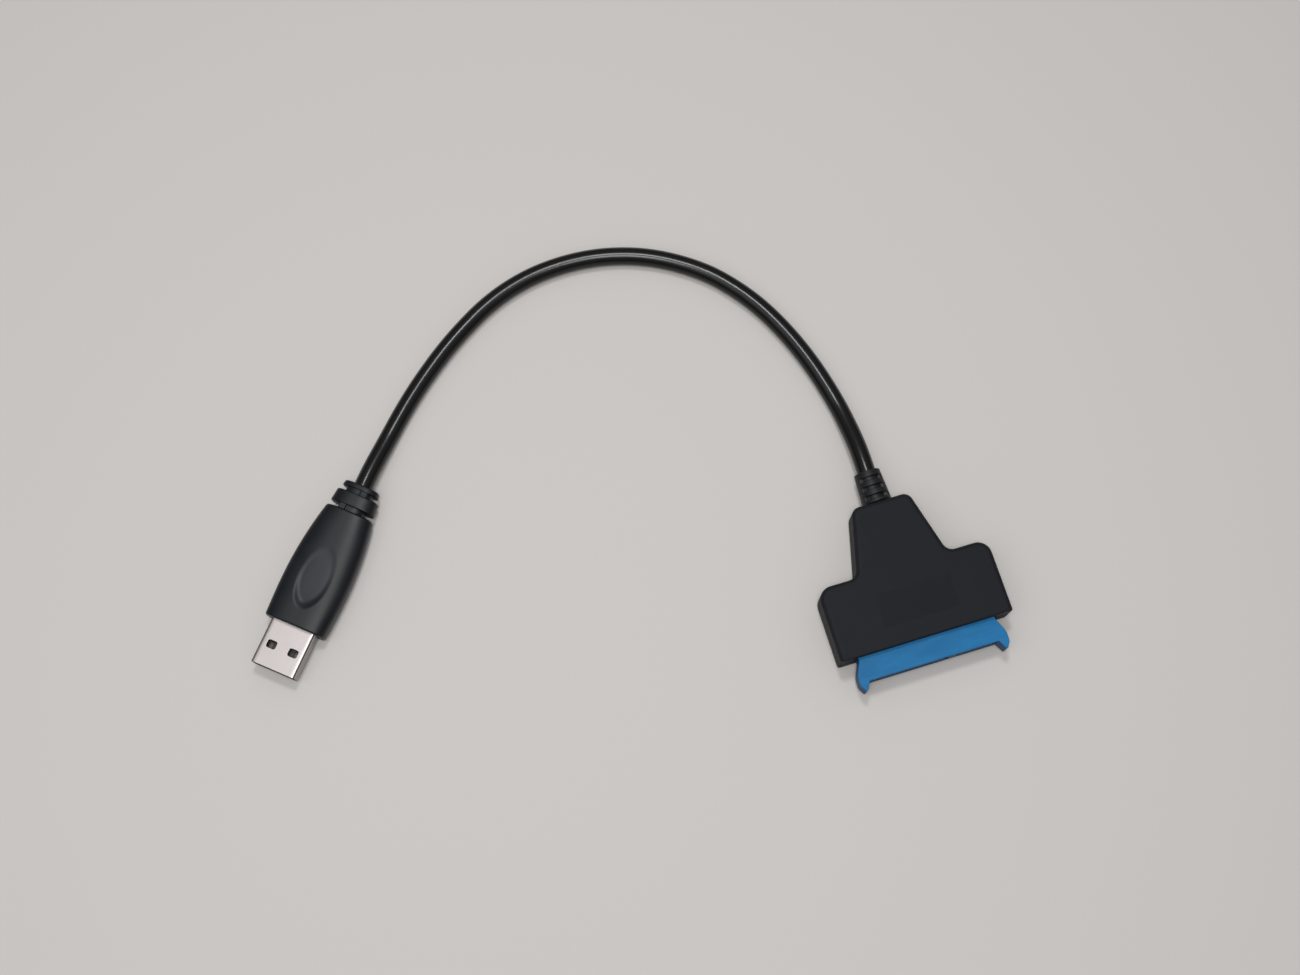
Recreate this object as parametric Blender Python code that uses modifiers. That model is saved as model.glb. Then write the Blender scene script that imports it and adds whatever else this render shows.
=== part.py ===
"""A lead that joins a serial drive to a computer.

A T-shaped plastic housing carries a 22-way drive socket and a small circuit board.
A round cable leaves it through a slotted boot, lies in an arc on the table and ends
in a moulded plug with a folded metal shell.

Units are metres and +Z is up. The origin is the bottom centre of the housing with its
socket and boot: +Y runs back towards the cable and drives are met towards -Y.
"""
import math

import bpy
import bmesh
import numpy as np
from mathutils import Matrix, Vector

MM = 0.001

# Clearances
CLEAR = 0.3 * MM            # between parts that touch
FINE_CLEAR = 0.12 * MM      # round contacts and soldered parts
BITE = 0.2 * MM             # how far a joined rib or leg runs into its parent
OVERCUT = 1.0 * MM          # how far a cutter runs past what it cuts
WELD = 0.001 * MM
ARC_STEP = math.radians(15)

# Housing
WING_MARGIN = 4.7 * MM      # from the socket's side to the housing's side
WING_DEPTH = 19.2 * MM
WING_CORNER = 3.6 * MM
NECK_BASE_WIDTH = 24.2 * MM
NECK_END_WIDTH = 15.2 * MM
NECK_LENGTH = 17.3 * MM
NECK_CORNER = 2.4 * MM
NECK_FILLET = 2.6 * MM
HOUSING_HEIGHT = 10.2 * MM
HOUSING_EDGE = 1.3 * MM
HOUSING_FRONT_EDGE = 0.4 * MM
HOUSING_WALL = 1.5 * MM
SEAM = 0.25 * MM
LIP_THICKNESS = 0.6 * MM
LIP_HEIGHT = 0.9 * MM
STOP_WIDTH = 2.4 * MM       # ribs that hold the boot's flange
STOP_DEPTH = 1.2 * MM
PRESS_SIZE = 1.4 * MM       # legs that hold the board down
PRESS_OFFSETS = (-3.0 * MM, 2.4 * MM)

# Drive socket
SOCKET_HEIGHT = 5.8 * MM
SOCKET_WALL = 1.25 * MM     # beside the slots
SOCKET_REACH = 6.1 * MM
SOCKET_FLANGE_RIM = 1.4 * MM
SOCKET_FLANGE_DEPTH = 2.2 * MM
EAR_FLARE = 1.6 * MM        # how far an ear stands out beside the socket
EAR_INSET = 1.0 * MM        # how far it reaches in front of the socket
EAR_REACH = 2.6 * MM
EAR_FLARE_START = 0.6 * MM
EAR_FLARE_LENGTH = 3.6 * MM
EAR_FLARE_ROUND = 4.0 * MM
EAR_SHOULDER = 0.7 * MM
EAR_SHOULDER_ROUND = 1.6 * MM
EAR_TIP_WIDTH = 1.45 * MM
EAR_TIP_ROUND = 0.25 * MM
SOCKET_CORNER = 0.3 * MM
SLOT_HEIGHT = 1.5 * MM
SLOT_DEPTH = 5.6 * MM
SLOT_LEG_WIDTH = 1.5 * MM
SLOT_LEG_HEIGHT = 1.3 * MM
SLOT_GAP = 2.1 * MM
SLOT_MARGIN = 1.5 * MM      # slot beyond the middles of its end contacts, both sides together
SIGNAL_CONTACTS = 7
POWER_CONTACTS = 15
CONTACT_PITCH = 1.27 * MM
CONTACT_WIDTH = 0.7 * MM
CONTACT_THICKNESS = 0.2 * MM
CONTACT_BUMP = 0.4 * MM     # how far a contact stands into its slot
CONTACT_BEND = 0.12 * MM    # how far the shoulders of its bump lie below the crest
CONTACT_SETBACK = 1.1 * MM  # from the socket's face to the contact's tip
CONTACT_TIP_RISE = 0.15 * MM
CONTACT_STEPS = (0.8 * MM, 1.3 * MM, 1.9 * MM)   # from the tip to the bump's shoulder, crest and shoulder
CONTACT_RAMP = 1.2 * MM
CONTACT_TAIL = 2.2 * MM

# Boot at the housing
BOOT_LENGTH = 8.5 * MM
BOOT_WALL = 1.0 * MM        # over the cable at the boot's end
BOOT_TAPER = 0.5 * MM
BOOT_NECK_WALL = 0.3 * MM
BOOT_CORE_WALL = 0.35 * MM
BOOT_FLANGE_RIM = 0.7 * MM
BOOT_FLANGE_THICKNESS = 1.3 * MM
BOOT_ROWS = 3
BOOT_FIRST_ROW = 0.9 * MM
BOOT_PLAIN_END = 1.2 * MM
BOOT_SIDES = 32
BOOT_SLOT = 1.1 * MM
BOOT_BRIDGE = 4.0 * MM

# Circuit board
BOARD_THICKNESS = 1.2 * MM
BOARD_MARGIN = 2.2 * MM     # to the housing's inner walls
BOARD_WIRE_ROOM = 7.3 * MM  # from the board's rear edge to the boot's flange
BOARD_CORNER = 0.6 * MM
BOARD_FILLET = 2.0 * MM
BOARD_NECK_CORNER = 0.8 * MM
PEG_RADIUS = 0.8 * MM
POST_RADIUS = 1.6 * MM
PEG_INSET = 3.4 * MM
PEG_SETBACK = 4.2 * MM

# Parts on the board: length, depth and height
BRIDGE_CHIP = (6.4 * MM, 6.4 * MM, 0.9 * MM)
BRIDGE_CHIP_CORNER = 0.8 * MM
MEMORY_CHIP = (4.9 * MM, 3.9 * MM, 1.4 * MM)
MEMORY_PLACE = 8.0 * MM
MEMORY_LEGS = (4, 0.42 * MM, 1.27 * MM)          # count, width and pitch
REGULATOR = (6.5 * MM, 3.5 * MM, 1.6 * MM)
REGULATOR_PLACE = -8.9 * MM
REGULATOR_LEGS = (3, 0.7 * MM, 2.3 * MM)
REGULATOR_TAB = 3.0 * MM
LEG_REACH = 1.0 * MM
CHIP_LIFT = 0.15 * MM
CHIP_EDGE = 0.2 * MM
CRYSTAL = (5.0 * MM, 3.2 * MM, 1.0 * MM)
INDUCTOR = (3.0 * MM, 3.0 * MM, 1.5 * MM)
CAN_CORNER = 0.5 * MM
CAPACITOR = (2.0 * MM, 1.25 * MM, 0.85 * MM)
CAPACITOR_PLACE = (12.6 * MM, 1.1 * MM)
CAPACITOR_ROW = 2.2 * MM
SMALL_CAPACITOR = (1.6 * MM, 0.8 * MM, 0.8 * MM)
SMALL_CAPACITOR_PLACE = 4.4 * MM
CAPACITOR_CAP = 0.4 * MM
CAPACITOR_STEP = 0.05 * MM

# Cable
CABLE_RADIUS = 2.4 * MM
CABLE_POINTS = 68
CABLE_LIFT = 0.06 * MM      # rounding allowance between the jacket and the table
WIRE_RADIUS = 0.42 * MM
WIRE_RING = 1.45 * MM
WIRE_PITCH = 1.35 * MM
WIRE_POINTS = 9
WIRE_LANDING = 2.4 * MM
WIRE_SPREAD_RATE = 1.5      # the wires part sideways sooner than they sink

# Plug
SHELL_WIDTH = 12.0 * MM
SHELL_HEIGHT = 4.5 * MM
SHELL_WALL = 0.3 * MM
SHELL_CORNER = 0.8 * MM
SHELL_REACH = 12.0 * MM
SHELL_HELD = 6.5 * MM
SHELL_SEAM = 0.2 * MM
WINDOW_WIDTH = 2.5 * MM
WINDOW_LENGTH = 2.1 * MM
WINDOW_SPREAD = 2.95 * MM
WINDOW_SETBACK = 5.7 * MM
TONGUE_HEIGHT = 1.84 * MM
TONGUE_SETBACK = 0.5 * MM
TONGUE_LENGTH = 15.2 * MM
TONGUE_CHAMFER = 0.5 * MM
TONGUE_BLOCK = 2.6 * MM
PAD_WIDTH = 1.0 * MM
PAD_THICKNESS = 0.25 * MM
PAD_PLACES = (-3.5 * MM, -1.0 * MM, 1.0 * MM, 3.5 * MM)
PAD_LENGTH = 5.2 * MM
PAD_SETBACK = 0.7 * MM
PAD_DIVE = 0.7 * MM
PAD_DROP = 0.1 * MM
PAD_TAIL = 1.4 * MM
SPRING_WIDTH = 0.65 * MM
SPRING_PLACES = (-4.0 * MM, -2.0 * MM, 0.0, 2.0 * MM, 4.0 * MM)
SPRING_SETBACK = 7.4 * MM
SPRING_RISE = 0.75 * MM
SPRING_DEPTH = 0.15 * MM
SPRING_TIP_RISE = 0.1 * MM
SPRING_STEPS = (0.9 * MM, 1.4 * MM, 2.9 * MM)    # from the tip to the crest's two ends and its foot
SPRING_TAIL = 0.9 * MM
GRIP_LENGTH = 32.2 * MM
GRIP_THICKNESS = 8.2 * MM
GRIP_TAIL_THICKNESS = 7.0 * MM
GRIP_SIDE_WALL = 2.15 * MM  # beside the shell at the grip's front
GRIP_SWELL_HALF = 0.45 * MM
GRIP_TAIL_HALF = 6.4 * MM
GRIP_SWELL = 0.36           # share of the grip's length where it is widest
GRIP_SQUARENESS = (3.4, 2.8)
GRIP_SIDES = 32
GRIP_STATIONS = 15
RECESS_LENGTH = 17.4 * MM
RECESS_WIDTH = 8.8 * MM
RECESS_CENTRE = 13.2 * MM   # behind the grip's front face
RECESS_DEPTH = 1.34 * MM
RECESS_TILT = math.radians(1.5)
RELIEF_CORE_SIDE = 1.2 * MM
RELIEF_CORE_WALL = 0.4 * MM
RELIEF_GAP = 1.3 * MM
RELIEF_LENGTHS = (3.5 * MM, 1.4 * MM)
RELIEF_HALF_WIDTHS = (6.0 * MM, 4.95 * MM)
RELIEF_THICKNESSES = (7.0 * MM, 6.4 * MM)
RELIEF_TAPER = 0.94
RELIEF_SQUARENESS = 2.8
RELIEF_BRIDGE = 1.8 * MM
RELIEF_BRIDGE_DROP = 0.3 * MM   # a bridge's thickness below its ring's, both faces together
GRIP_EDGE = 0.5 * MM
PLUG_PLACE = (-158.4 * MM, 21.9 * MM)
PLUG_TURN = math.radians(140.0)

# Worked out from the sizes above
POWER_SLOT_WIDTH = (POWER_CONTACTS - 1) * CONTACT_PITCH + SLOT_MARGIN + SLOT_LEG_WIDTH
SIGNAL_SLOT_WIDTH = (SIGNAL_CONTACTS - 1) * CONTACT_PITCH + SLOT_MARGIN + SLOT_LEG_WIDTH
SOCKET_WIDTH = POWER_SLOT_WIDTH + SLOT_GAP + SIGNAL_SLOT_WIDTH + 2 * SOCKET_WALL
SOCKET_FLANGE_WIDTH = SOCKET_WIDTH + 2 * SOCKET_FLANGE_RIM
EAR_SPAN = SOCKET_WIDTH + 2 * EAR_FLARE
EAR_INNER = SOCKET_WIDTH - 2 * EAR_INSET
WING_WIDTH = SOCKET_WIDTH + 2 * WING_MARGIN
HOUSING_DEPTH = WING_DEPTH + NECK_LENGTH
BOOT_END = HOUSING_DEPTH + CLEAR + BOOT_LENGTH
SOCKET_TIP = SOCKET_REACH + EAR_REACH
HEAD_MIDDLE = (BOOT_END - SOCKET_TIP) / 2
MID_HEIGHT = HOUSING_HEIGHT / 2
FLOOR_TOP = HOUSING_WALL
CEILING = HOUSING_HEIGHT - HOUSING_WALL
FLANGE_HEIGHT = CEILING - FLOOR_TOP - 2 * CLEAR
FLANGE_FRONT = HOUSING_WALL + CLEAR
FLANGE_REAR = FLANGE_FRONT + SOCKET_FLANGE_DEPTH
SLOT_FLOOR = MID_HEIGHT - SLOT_HEIGHT / 2
SLOT_END = SLOT_DEPTH - SOCKET_REACH
CONTACT_LEVEL = SLOT_FLOOR - CONTACT_THICKNESS / 2 - 2 * FINE_CLEAR
BOARD_TOP = CONTACT_LEVEL - CONTACT_THICKNESS / 2 - FINE_CLEAR
BOARD_BOTTOM = BOARD_TOP - BOARD_THICKNESS
BOOT_END_RADIUS = CABLE_RADIUS + BOOT_WALL
BOOT_BASE_RADIUS = BOOT_END_RADIUS + BOOT_TAPER
BOOT_NECK_RADIUS = CABLE_RADIUS + BOOT_NECK_WALL
BOOT_CORE_RADIUS = CABLE_RADIUS + BOOT_CORE_WALL
BOOT_FLANGE_RADIUS = BOOT_BASE_RADIUS + BOOT_FLANGE_RIM
BOOT_FLANGE_REAR = HOUSING_DEPTH - HOUSING_WALL - CLEAR
BOOT_FLANGE_FRONT = BOOT_FLANGE_REAR - BOOT_FLANGE_THICKNESS
BOARD_FRONT = FLANGE_REAR + CLEAR
BOARD_SHOULDER = WING_DEPTH - HOUSING_WALL - BOARD_MARGIN
BOARD_REAR = BOOT_FLANGE_FRONT - BOARD_WIRE_ROOM
BOARD_WING_WIDTH = WING_WIDTH - 2 * (HOUSING_WALL + BOARD_MARGIN)
BOARD_NECK_WIDTH = NECK_END_WIDTH - 2 * HOUSING_WALL
PART_BASE = BOARD_TOP + FINE_CLEAR
PLUG_AXIS = GRIP_THICKNESS / 2
SHELL_BOTTOM = PLUG_AXIS - SHELL_HEIGHT / 2
TONGUE_TOP = SHELL_BOTTOM + SHELL_WALL + FINE_CLEAR + TONGUE_HEIGHT
GRIP_TAIL = SHELL_REACH + GRIP_LENGTH
GRIP_FRONT_HALF = SHELL_WIDTH / 2 + GRIP_SIDE_WALL
GRIP_WAIST_HALF = GRIP_FRONT_HALF + GRIP_SWELL_HALF
RELIEF_CORE_HALF = CABLE_RADIUS + RELIEF_CORE_SIDE
RELIEF_CORE_THICKNESS = 2 * (CABLE_RADIUS + RELIEF_CORE_WALL)
RELIEF_END = GRIP_TAIL + sum(RELIEF_GAP + length for length in RELIEF_LENGTHS)
PEG_X = BOARD_WING_WIDTH / 2 - PEG_INSET
PEG_Y = BOARD_SHOULDER - PEG_SETBACK

# Route of the cable on the table, by eye from end to end, between the two exits
CABLE_ROUTE_MM = (
    (0.1, 31.5), (0.1, 35.5), (-0.2, 41.0), (-0.9, 47.4), (-2.7, 56.0), (-5.1, 64.2),
    (-8.2, 72.1), (-12.0, 79.5), (-16.7, 86.3), (-22.2, 92.3), (-28.7, 97.3), (-35.8, 101.3),
    (-43.4, 104.1), (-51.2, 105.7), (-59.1, 106.1), (-66.9, 105.4), (-74.5, 103.5), (-81.7, 100.5),
    (-88.4, 96.6), (-94.8, 92.2), (-100.9, 87.3), (-106.8, 82.0), (-112.5, 76.2), (-117.8, 70.3),
    (-121.6, 65.9))
CABLE_DROP = 22.0 * MM      # length over which it sinks from the boot to the table
CABLE_RISE = 18.0 * MM      # length over which it climbs to the plug


def clear_scene():
    for piece in list(bpy.data.objects):
        bpy.data.objects.remove(piece, do_unlink=True)


def collection(name, hidden=False):
    group = bpy.data.collections.new(name)
    bpy.context.scene.collection.children.link(group)
    group.hide_render = hidden
    return group


clear_scene()
PARTS = collection("usb_to_sata_adapter")
CUTTERS = collection("cutters", hidden=True)


def material(name, colour, roughness, metallic=0.0):
    made = bpy.data.materials.new(name)
    made.use_nodes = True
    shader = made.node_tree.nodes["Principled BSDF"]
    shader.inputs["Base Color"].default_value = (*colour, 1.0)
    shader.inputs["Roughness"].default_value = roughness
    shader.inputs["Metallic"].default_value = metallic
    return made


HOUSING_PLASTIC = material("housing_plastic", (0.018, 0.019, 0.022), 0.5)
SOCKET_PLASTIC = material("socket_plastic", (0.028, 0.14, 0.36), 0.42)
CABLE_VINYL = material("cable_vinyl", (0.012, 0.012, 0.013), 0.36)
GRIP_VINYL = material("grip_vinyl", (0.022, 0.025, 0.030), 0.45)
SHELL_STEEL = material("shell_steel", (0.72, 0.68, 0.66), 0.32, 1.0)
CONTACT_GOLD = material("contact_gold", (0.83, 0.62, 0.27), 0.3, 1.0)
TONGUE_PLASTIC = material("tongue_plastic", (0.02, 0.02, 0.02), 0.45)
BOARD_LAMINATE = material("board_laminate", (0.02, 0.12, 0.05), 0.45)
CHIP_EPOXY = material("chip_epoxy", (0.02, 0.02, 0.02), 0.6)
CAN_STEEL = material("can_steel", (0.65, 0.65, 0.63), 0.35, 1.0)
CAPACITOR_CERAMIC = material("capacitor_ceramic", (0.42, 0.30, 0.18), 0.5)


def empty(name, place=(0, 0, 0), turn=0.0, parent=None):
    holder = bpy.data.objects.new(name, None)
    holder.empty_display_size = 5 * MM
    holder.location = place
    holder.rotation_euler.z = turn
    holder.parent = parent
    PARTS.objects.link(holder)
    return holder


HEAD = empty("head", (0, -HEAD_MIDDLE, 0))
PLUG = empty("plug", (*PLUG_PLACE, 0), PLUG_TURN)


def add(name, mesh, finish, parent, smooth=None):
    """Links a mesh as a visible piece with its own finish."""
    mesh.materials.clear()
    mesh.materials.append(finish)
    if smooth is not None:
        mesh.shade_smooth()
        mesh.set_sharp_from_angle(angle=math.radians(smooth))
    piece = bpy.data.objects.new(name, mesh)
    piece.parent = parent
    PARTS.objects.link(piece)
    return piece


def tool(name, mesh, parent):
    """Links a mesh as a cutter or an addition, hidden from view."""
    piece = bpy.data.objects.new(name, mesh)
    piece.parent = parent
    piece.hide_render = True
    piece.display_type = "WIRE"
    CUTTERS.objects.link(piece)
    return piece


def combine(piece, other, operation):
    step = piece.modifiers.new(other.name, "BOOLEAN")
    step.operation = operation
    step.solver = "EXACT"
    step.object = other
    return step


def cut(piece, other):
    return combine(piece, other, "DIFFERENCE")


def join(piece, other):
    return combine(piece, other, "UNION")


def finish_mesh(name, bm):
    bmesh.ops.recalc_face_normals(bm, faces=bm.faces)
    mesh = bpy.data.meshes.new(name)
    bm.to_mesh(mesh)
    bm.free()
    return mesh


def boxes(name, spans):
    """One mesh of separate boxes, each given by its lowest and highest corners."""
    bm = bmesh.new()
    for low, high in spans:
        low, high = Vector(low), Vector(high)
        scale = Matrix.Diagonal((*(high - low), 1.0))
        bmesh.ops.create_cube(bm, size=1.0, matrix=Matrix.Translation((low + high) / 2) @ scale)
    return finish_mesh(name, bm)


def centred(x, y, z, width, depth, height):
    """The corners of a box that stands on height z, centred on x and y."""
    return (x - width / 2, y - depth / 2, z), (x + width / 2, y + depth / 2, z + height)


def cylinders(name, stacks, segments=24):
    """One mesh of separate upright cylinders: x, y, bottom, top and radius of each."""
    bm = bmesh.new()
    for x, y, low, high, radius in stacks:
        place = Matrix.Translation((x, y, (low + high) / 2))
        bmesh.ops.create_cone(bm, cap_ends=True, segments=segments, radius1=radius, radius2=radius,
                              depth=high - low, matrix=place)
    return finish_mesh(name, bm)


def axle(name, y, radius, length):
    """A cylinder that lies along the cable's way out of the housing, centred on y."""
    bm = bmesh.new()
    place = Matrix.Translation((0, y, MID_HEIGHT)) @ Matrix.Rotation(math.pi / 2, 4, "X")
    bmesh.ops.create_cone(bm, cap_ends=True, segments=BOOT_SIDES, radius1=radius, radius2=radius,
                          depth=length, matrix=place)
    return finish_mesh(name, bm)


def inset(corners, distance):
    """Moves each side of a corner outline inwards, and keeps its rounding parallel."""
    count = len(corners)
    moved = []
    for index, (x, y, radius) in enumerate(corners):
        before = Vector(corners[index - 1][:2])
        here = Vector((x, y))
        after = Vector(corners[(index + 1) % count][:2])
        arriving = (here - before).normalized()
        leaving = (after - here).normalized()
        turn = arriving.cross(leaving)
        normal_in = Vector((-arriving.y, arriving.x))
        normal_out = Vector((-leaving.y, leaving.x))
        bisector = normal_in + normal_out
        shift = bisector * (2 * distance / bisector.length_squared)
        rounding = max(0.0, radius - math.copysign(distance, turn)) if radius else 0.0
        moved.append((x + shift.x, y + shift.y, rounding))
    return moved


def rounded(corners, step=ARC_STEP):
    """Turns corners with radii into outline points, each round stretch as an arc."""
    count = len(corners)
    points = []
    for index, (x, y, radius) in enumerate(corners):
        here = Vector((x, y))
        to_before = (Vector(corners[index - 1][:2]) - here).normalized()
        to_after = (Vector(corners[(index + 1) % count][:2]) - here).normalized()
        half_angle = to_before.angle(to_after) / 2
        if radius <= 0:
            points.append((x, y))
            continue
        centre = here + (to_before + to_after).normalized() * (radius / math.sin(half_angle))
        start = here + to_before * (radius / math.tan(half_angle)) - centre
        sweep = math.pi - 2 * half_angle
        turn = math.copysign(1.0, -to_before.cross(to_after))
        pieces = max(1, round(sweep / step))
        for number in range(pieces + 1):
            angle = turn * sweep * number / pieces
            spoke = Matrix.Rotation(angle, 2) @ start
            points.append((centre.x + spoke.x, centre.y + spoke.y))
    return points


def mirrored(half):
    """Completes a corner outline from its right half, listed anticlockwise."""
    return half + [(-x, y, radius) for x, y, radius in reversed(half)]


def slab(name, points, low, high):
    """A flat outline given thickness: a filled 2D curve made into one closed mesh."""
    curve = bpy.data.curves.new(name, "CURVE")
    curve.dimensions = "2D"
    curve.fill_mode = "BOTH"
    curve.extrude = (high - low) / 2
    spline = curve.splines.new("POLY")
    spline.points.add(len(points) - 1)
    for point, (x, y) in zip(spline.points, points):
        point.co = (x, y, 0, 1)
    spline.use_cyclic_u = True
    drawn = bpy.data.objects.new(name, curve)
    drawn.location.z = (low + high) / 2
    PARTS.objects.link(drawn)
    bpy.context.view_layer.update()
    seen = drawn.evaluated_get(bpy.context.evaluated_depsgraph_get())
    mesh = bpy.data.meshes.new_from_object(seen)
    mesh.transform(drawn.matrix_world)
    bpy.data.objects.remove(drawn)
    bpy.data.curves.remove(curve)
    bm = bmesh.new()
    bm.from_mesh(mesh)
    bpy.data.meshes.remove(mesh)
    bmesh.ops.remove_doubles(bm, verts=bm.verts, dist=WELD)
    bmesh.ops.dissolve_limit(bm, angle_limit=math.radians(1), verts=bm.verts, edges=bm.edges)
    return finish_mesh(name, bm)


def soften(mesh, radius, segments, chosen):
    """Rounds the edges of a mesh that the chosen test picks."""
    bm = bmesh.new()
    bm.from_mesh(mesh)
    edges = [edge for edge in bm.edges if chosen(edge)]
    bmesh.ops.bevel(bm, geom=edges, offset=radius, offset_type="OFFSET", segments=segments,
                    profile=0.5, affect="EDGES", clamp_overlap=True)
    bm.to_mesh(mesh)
    bm.free()


def ribbon(name, path, width):
    """An open surface along a path of y and z, ready to be given thickness."""
    bm = bmesh.new()
    rows = [[bm.verts.new((side * width / 2, y, z)) for side in (-1, 1)] for y, z in path]
    for (left, right), (next_left, next_right) in zip(rows, rows[1:]):
        bm.faces.new((left, right, next_right, next_left))
    return finish_mesh(name, bm)


def lengthened(path, first, last):
    """The same path with its first and last stretches run on by the given lengths."""
    points = [Vector(point) for point in path]
    start = points[0] + (points[0] - points[1]).normalized() * first
    end = points[-1] + (points[-1] - points[-2]).normalized() * last
    return [start] + points[1:-1] + [end]


def thicken(piece, thickness):
    step = piece.modifiers.new("thickness", "SOLIDIFY")
    step.thickness = thickness
    step.offset = 0
    step.use_even_offset = True


def strip(name, path, width, thickness, parent, x):
    """A contact bent from sheet metal."""
    piece = add(name, ribbon(name, path, width), CONTACT_GOLD, parent)
    piece.location.x = x
    thicken(piece, thickness)


def strip_channel(name, path, width, thickness, parent, x, first, last):
    """Cuts a strip's own channel: the strip's path, wider and thicker by the fine clearance."""
    mesh = ribbon(name, lengthened(path, first, last), width + 2 * FINE_CLEAR)
    piece = tool(name + "_channel", mesh, parent)
    piece.location.x = x
    thicken(piece, thickness + 2 * FINE_CLEAR)
    return piece


def eased(share):
    """Runs from 0 to 1 with a level start and a level end."""
    return share * share * (3 - 2 * share)


def smooth_route(route, count):
    """Evenly spaced points on a smooth curve through the route's own points."""
    route = np.array(route, float)
    padded = np.vstack([2 * route[0] - route[1], route, 2 * route[-1] - route[-2]])
    share = np.linspace(0, 1, 24, endpoint=False)[:, None]
    fine = []
    for a, b, c, d in zip(padded, padded[1:], padded[2:], padded[3:]):
        fine.append(0.5 * (2 * b + (c - a) * share + (2 * a - 5 * b + 4 * c - d) * share ** 2
                           + (3 * b - a - 3 * c + d) * share ** 3))
    fine = np.vstack(fine + [route[-1:]])
    travelled = np.r_[0, np.cumsum(np.linalg.norm(np.diff(fine, axis=0), axis=1))]
    wanted = np.linspace(0, travelled[-1], count)
    return np.stack([np.interp(wanted, travelled, column) for column in fine.T], axis=1)


def tube(name, points, radius, finish, parent, resolution):
    """A round cord: a curve with a bevel depth and filled caps."""
    curve = bpy.data.curves.new(name, "CURVE")
    curve.dimensions = "3D"
    curve.bevel_depth = radius
    curve.bevel_resolution = resolution
    curve.use_fill_caps = True
    spline = curve.splines.new("POLY")
    spline.points.add(len(points) - 1)
    for point, place in zip(spline.points, points):
        point.co = (*place, 1)
    curve.materials.append(finish)
    piece = bpy.data.objects.new(name, curve)
    piece.parent = parent
    PARTS.objects.link(piece)
    return piece


# Housing

def housing_corners():
    half = [
        (WING_WIDTH / 2, 0.0, 0.0),
        (WING_WIDTH / 2, WING_DEPTH, WING_CORNER),
        (NECK_BASE_WIDTH / 2, WING_DEPTH, NECK_FILLET),
        (NECK_END_WIDTH / 2, HOUSING_DEPTH, NECK_CORNER)]
    return mirrored(half)


def housing_blank(name):
    """The whole housing as one rounded block, with a flat front and a finer edge round it."""
    mesh = slab(name, rounded(housing_corners()), 0, HOUSING_HEIGHT)

    def at_front(edge):
        return all(vertex.co.y < WELD for vertex in edge.verts)

    def rim(edge):
        heights = [vertex.co.z for vertex in edge.verts]
        return abs(heights[0] - heights[1]) < WELD and not at_front(edge)

    soften(mesh, HOUSING_EDGE, 3, rim)
    soften(mesh, HOUSING_FRONT_EDGE, 2, at_front)
    return mesh


def housing_openings():
    """Cutters that both halves share: the room inside, the socket's window and the boot's hole."""
    room = slab("room", rounded(inset(housing_corners(), HOUSING_WALL)), FLOOR_TOP, CEILING)
    reach = SOCKET_WIDTH / 2 + CLEAR
    low = MID_HEIGHT - SOCKET_HEIGHT / 2 - CLEAR
    high = MID_HEIGHT + SOCKET_HEIGHT / 2 + CLEAR
    window = boxes("socket_window", [((-reach, -OVERCUT, low), (reach, HOUSING_WALL + OVERCUT, high))])
    hole = axle("boot_hole", HOUSING_DEPTH - HOUSING_WALL / 2, BOOT_NECK_RADIUS + CLEAR,
                HOUSING_WALL + 2 * OVERCUT)
    return [tool(mesh.name, mesh, HEAD) for mesh in (room, window, hole)]


def half_space(name, low, high):
    reach = WING_WIDTH
    span = ((-reach, -reach, low), (reach, reach + HOUSING_DEPTH, high))
    return tool(name, boxes(name, [span]), HEAD)


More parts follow.
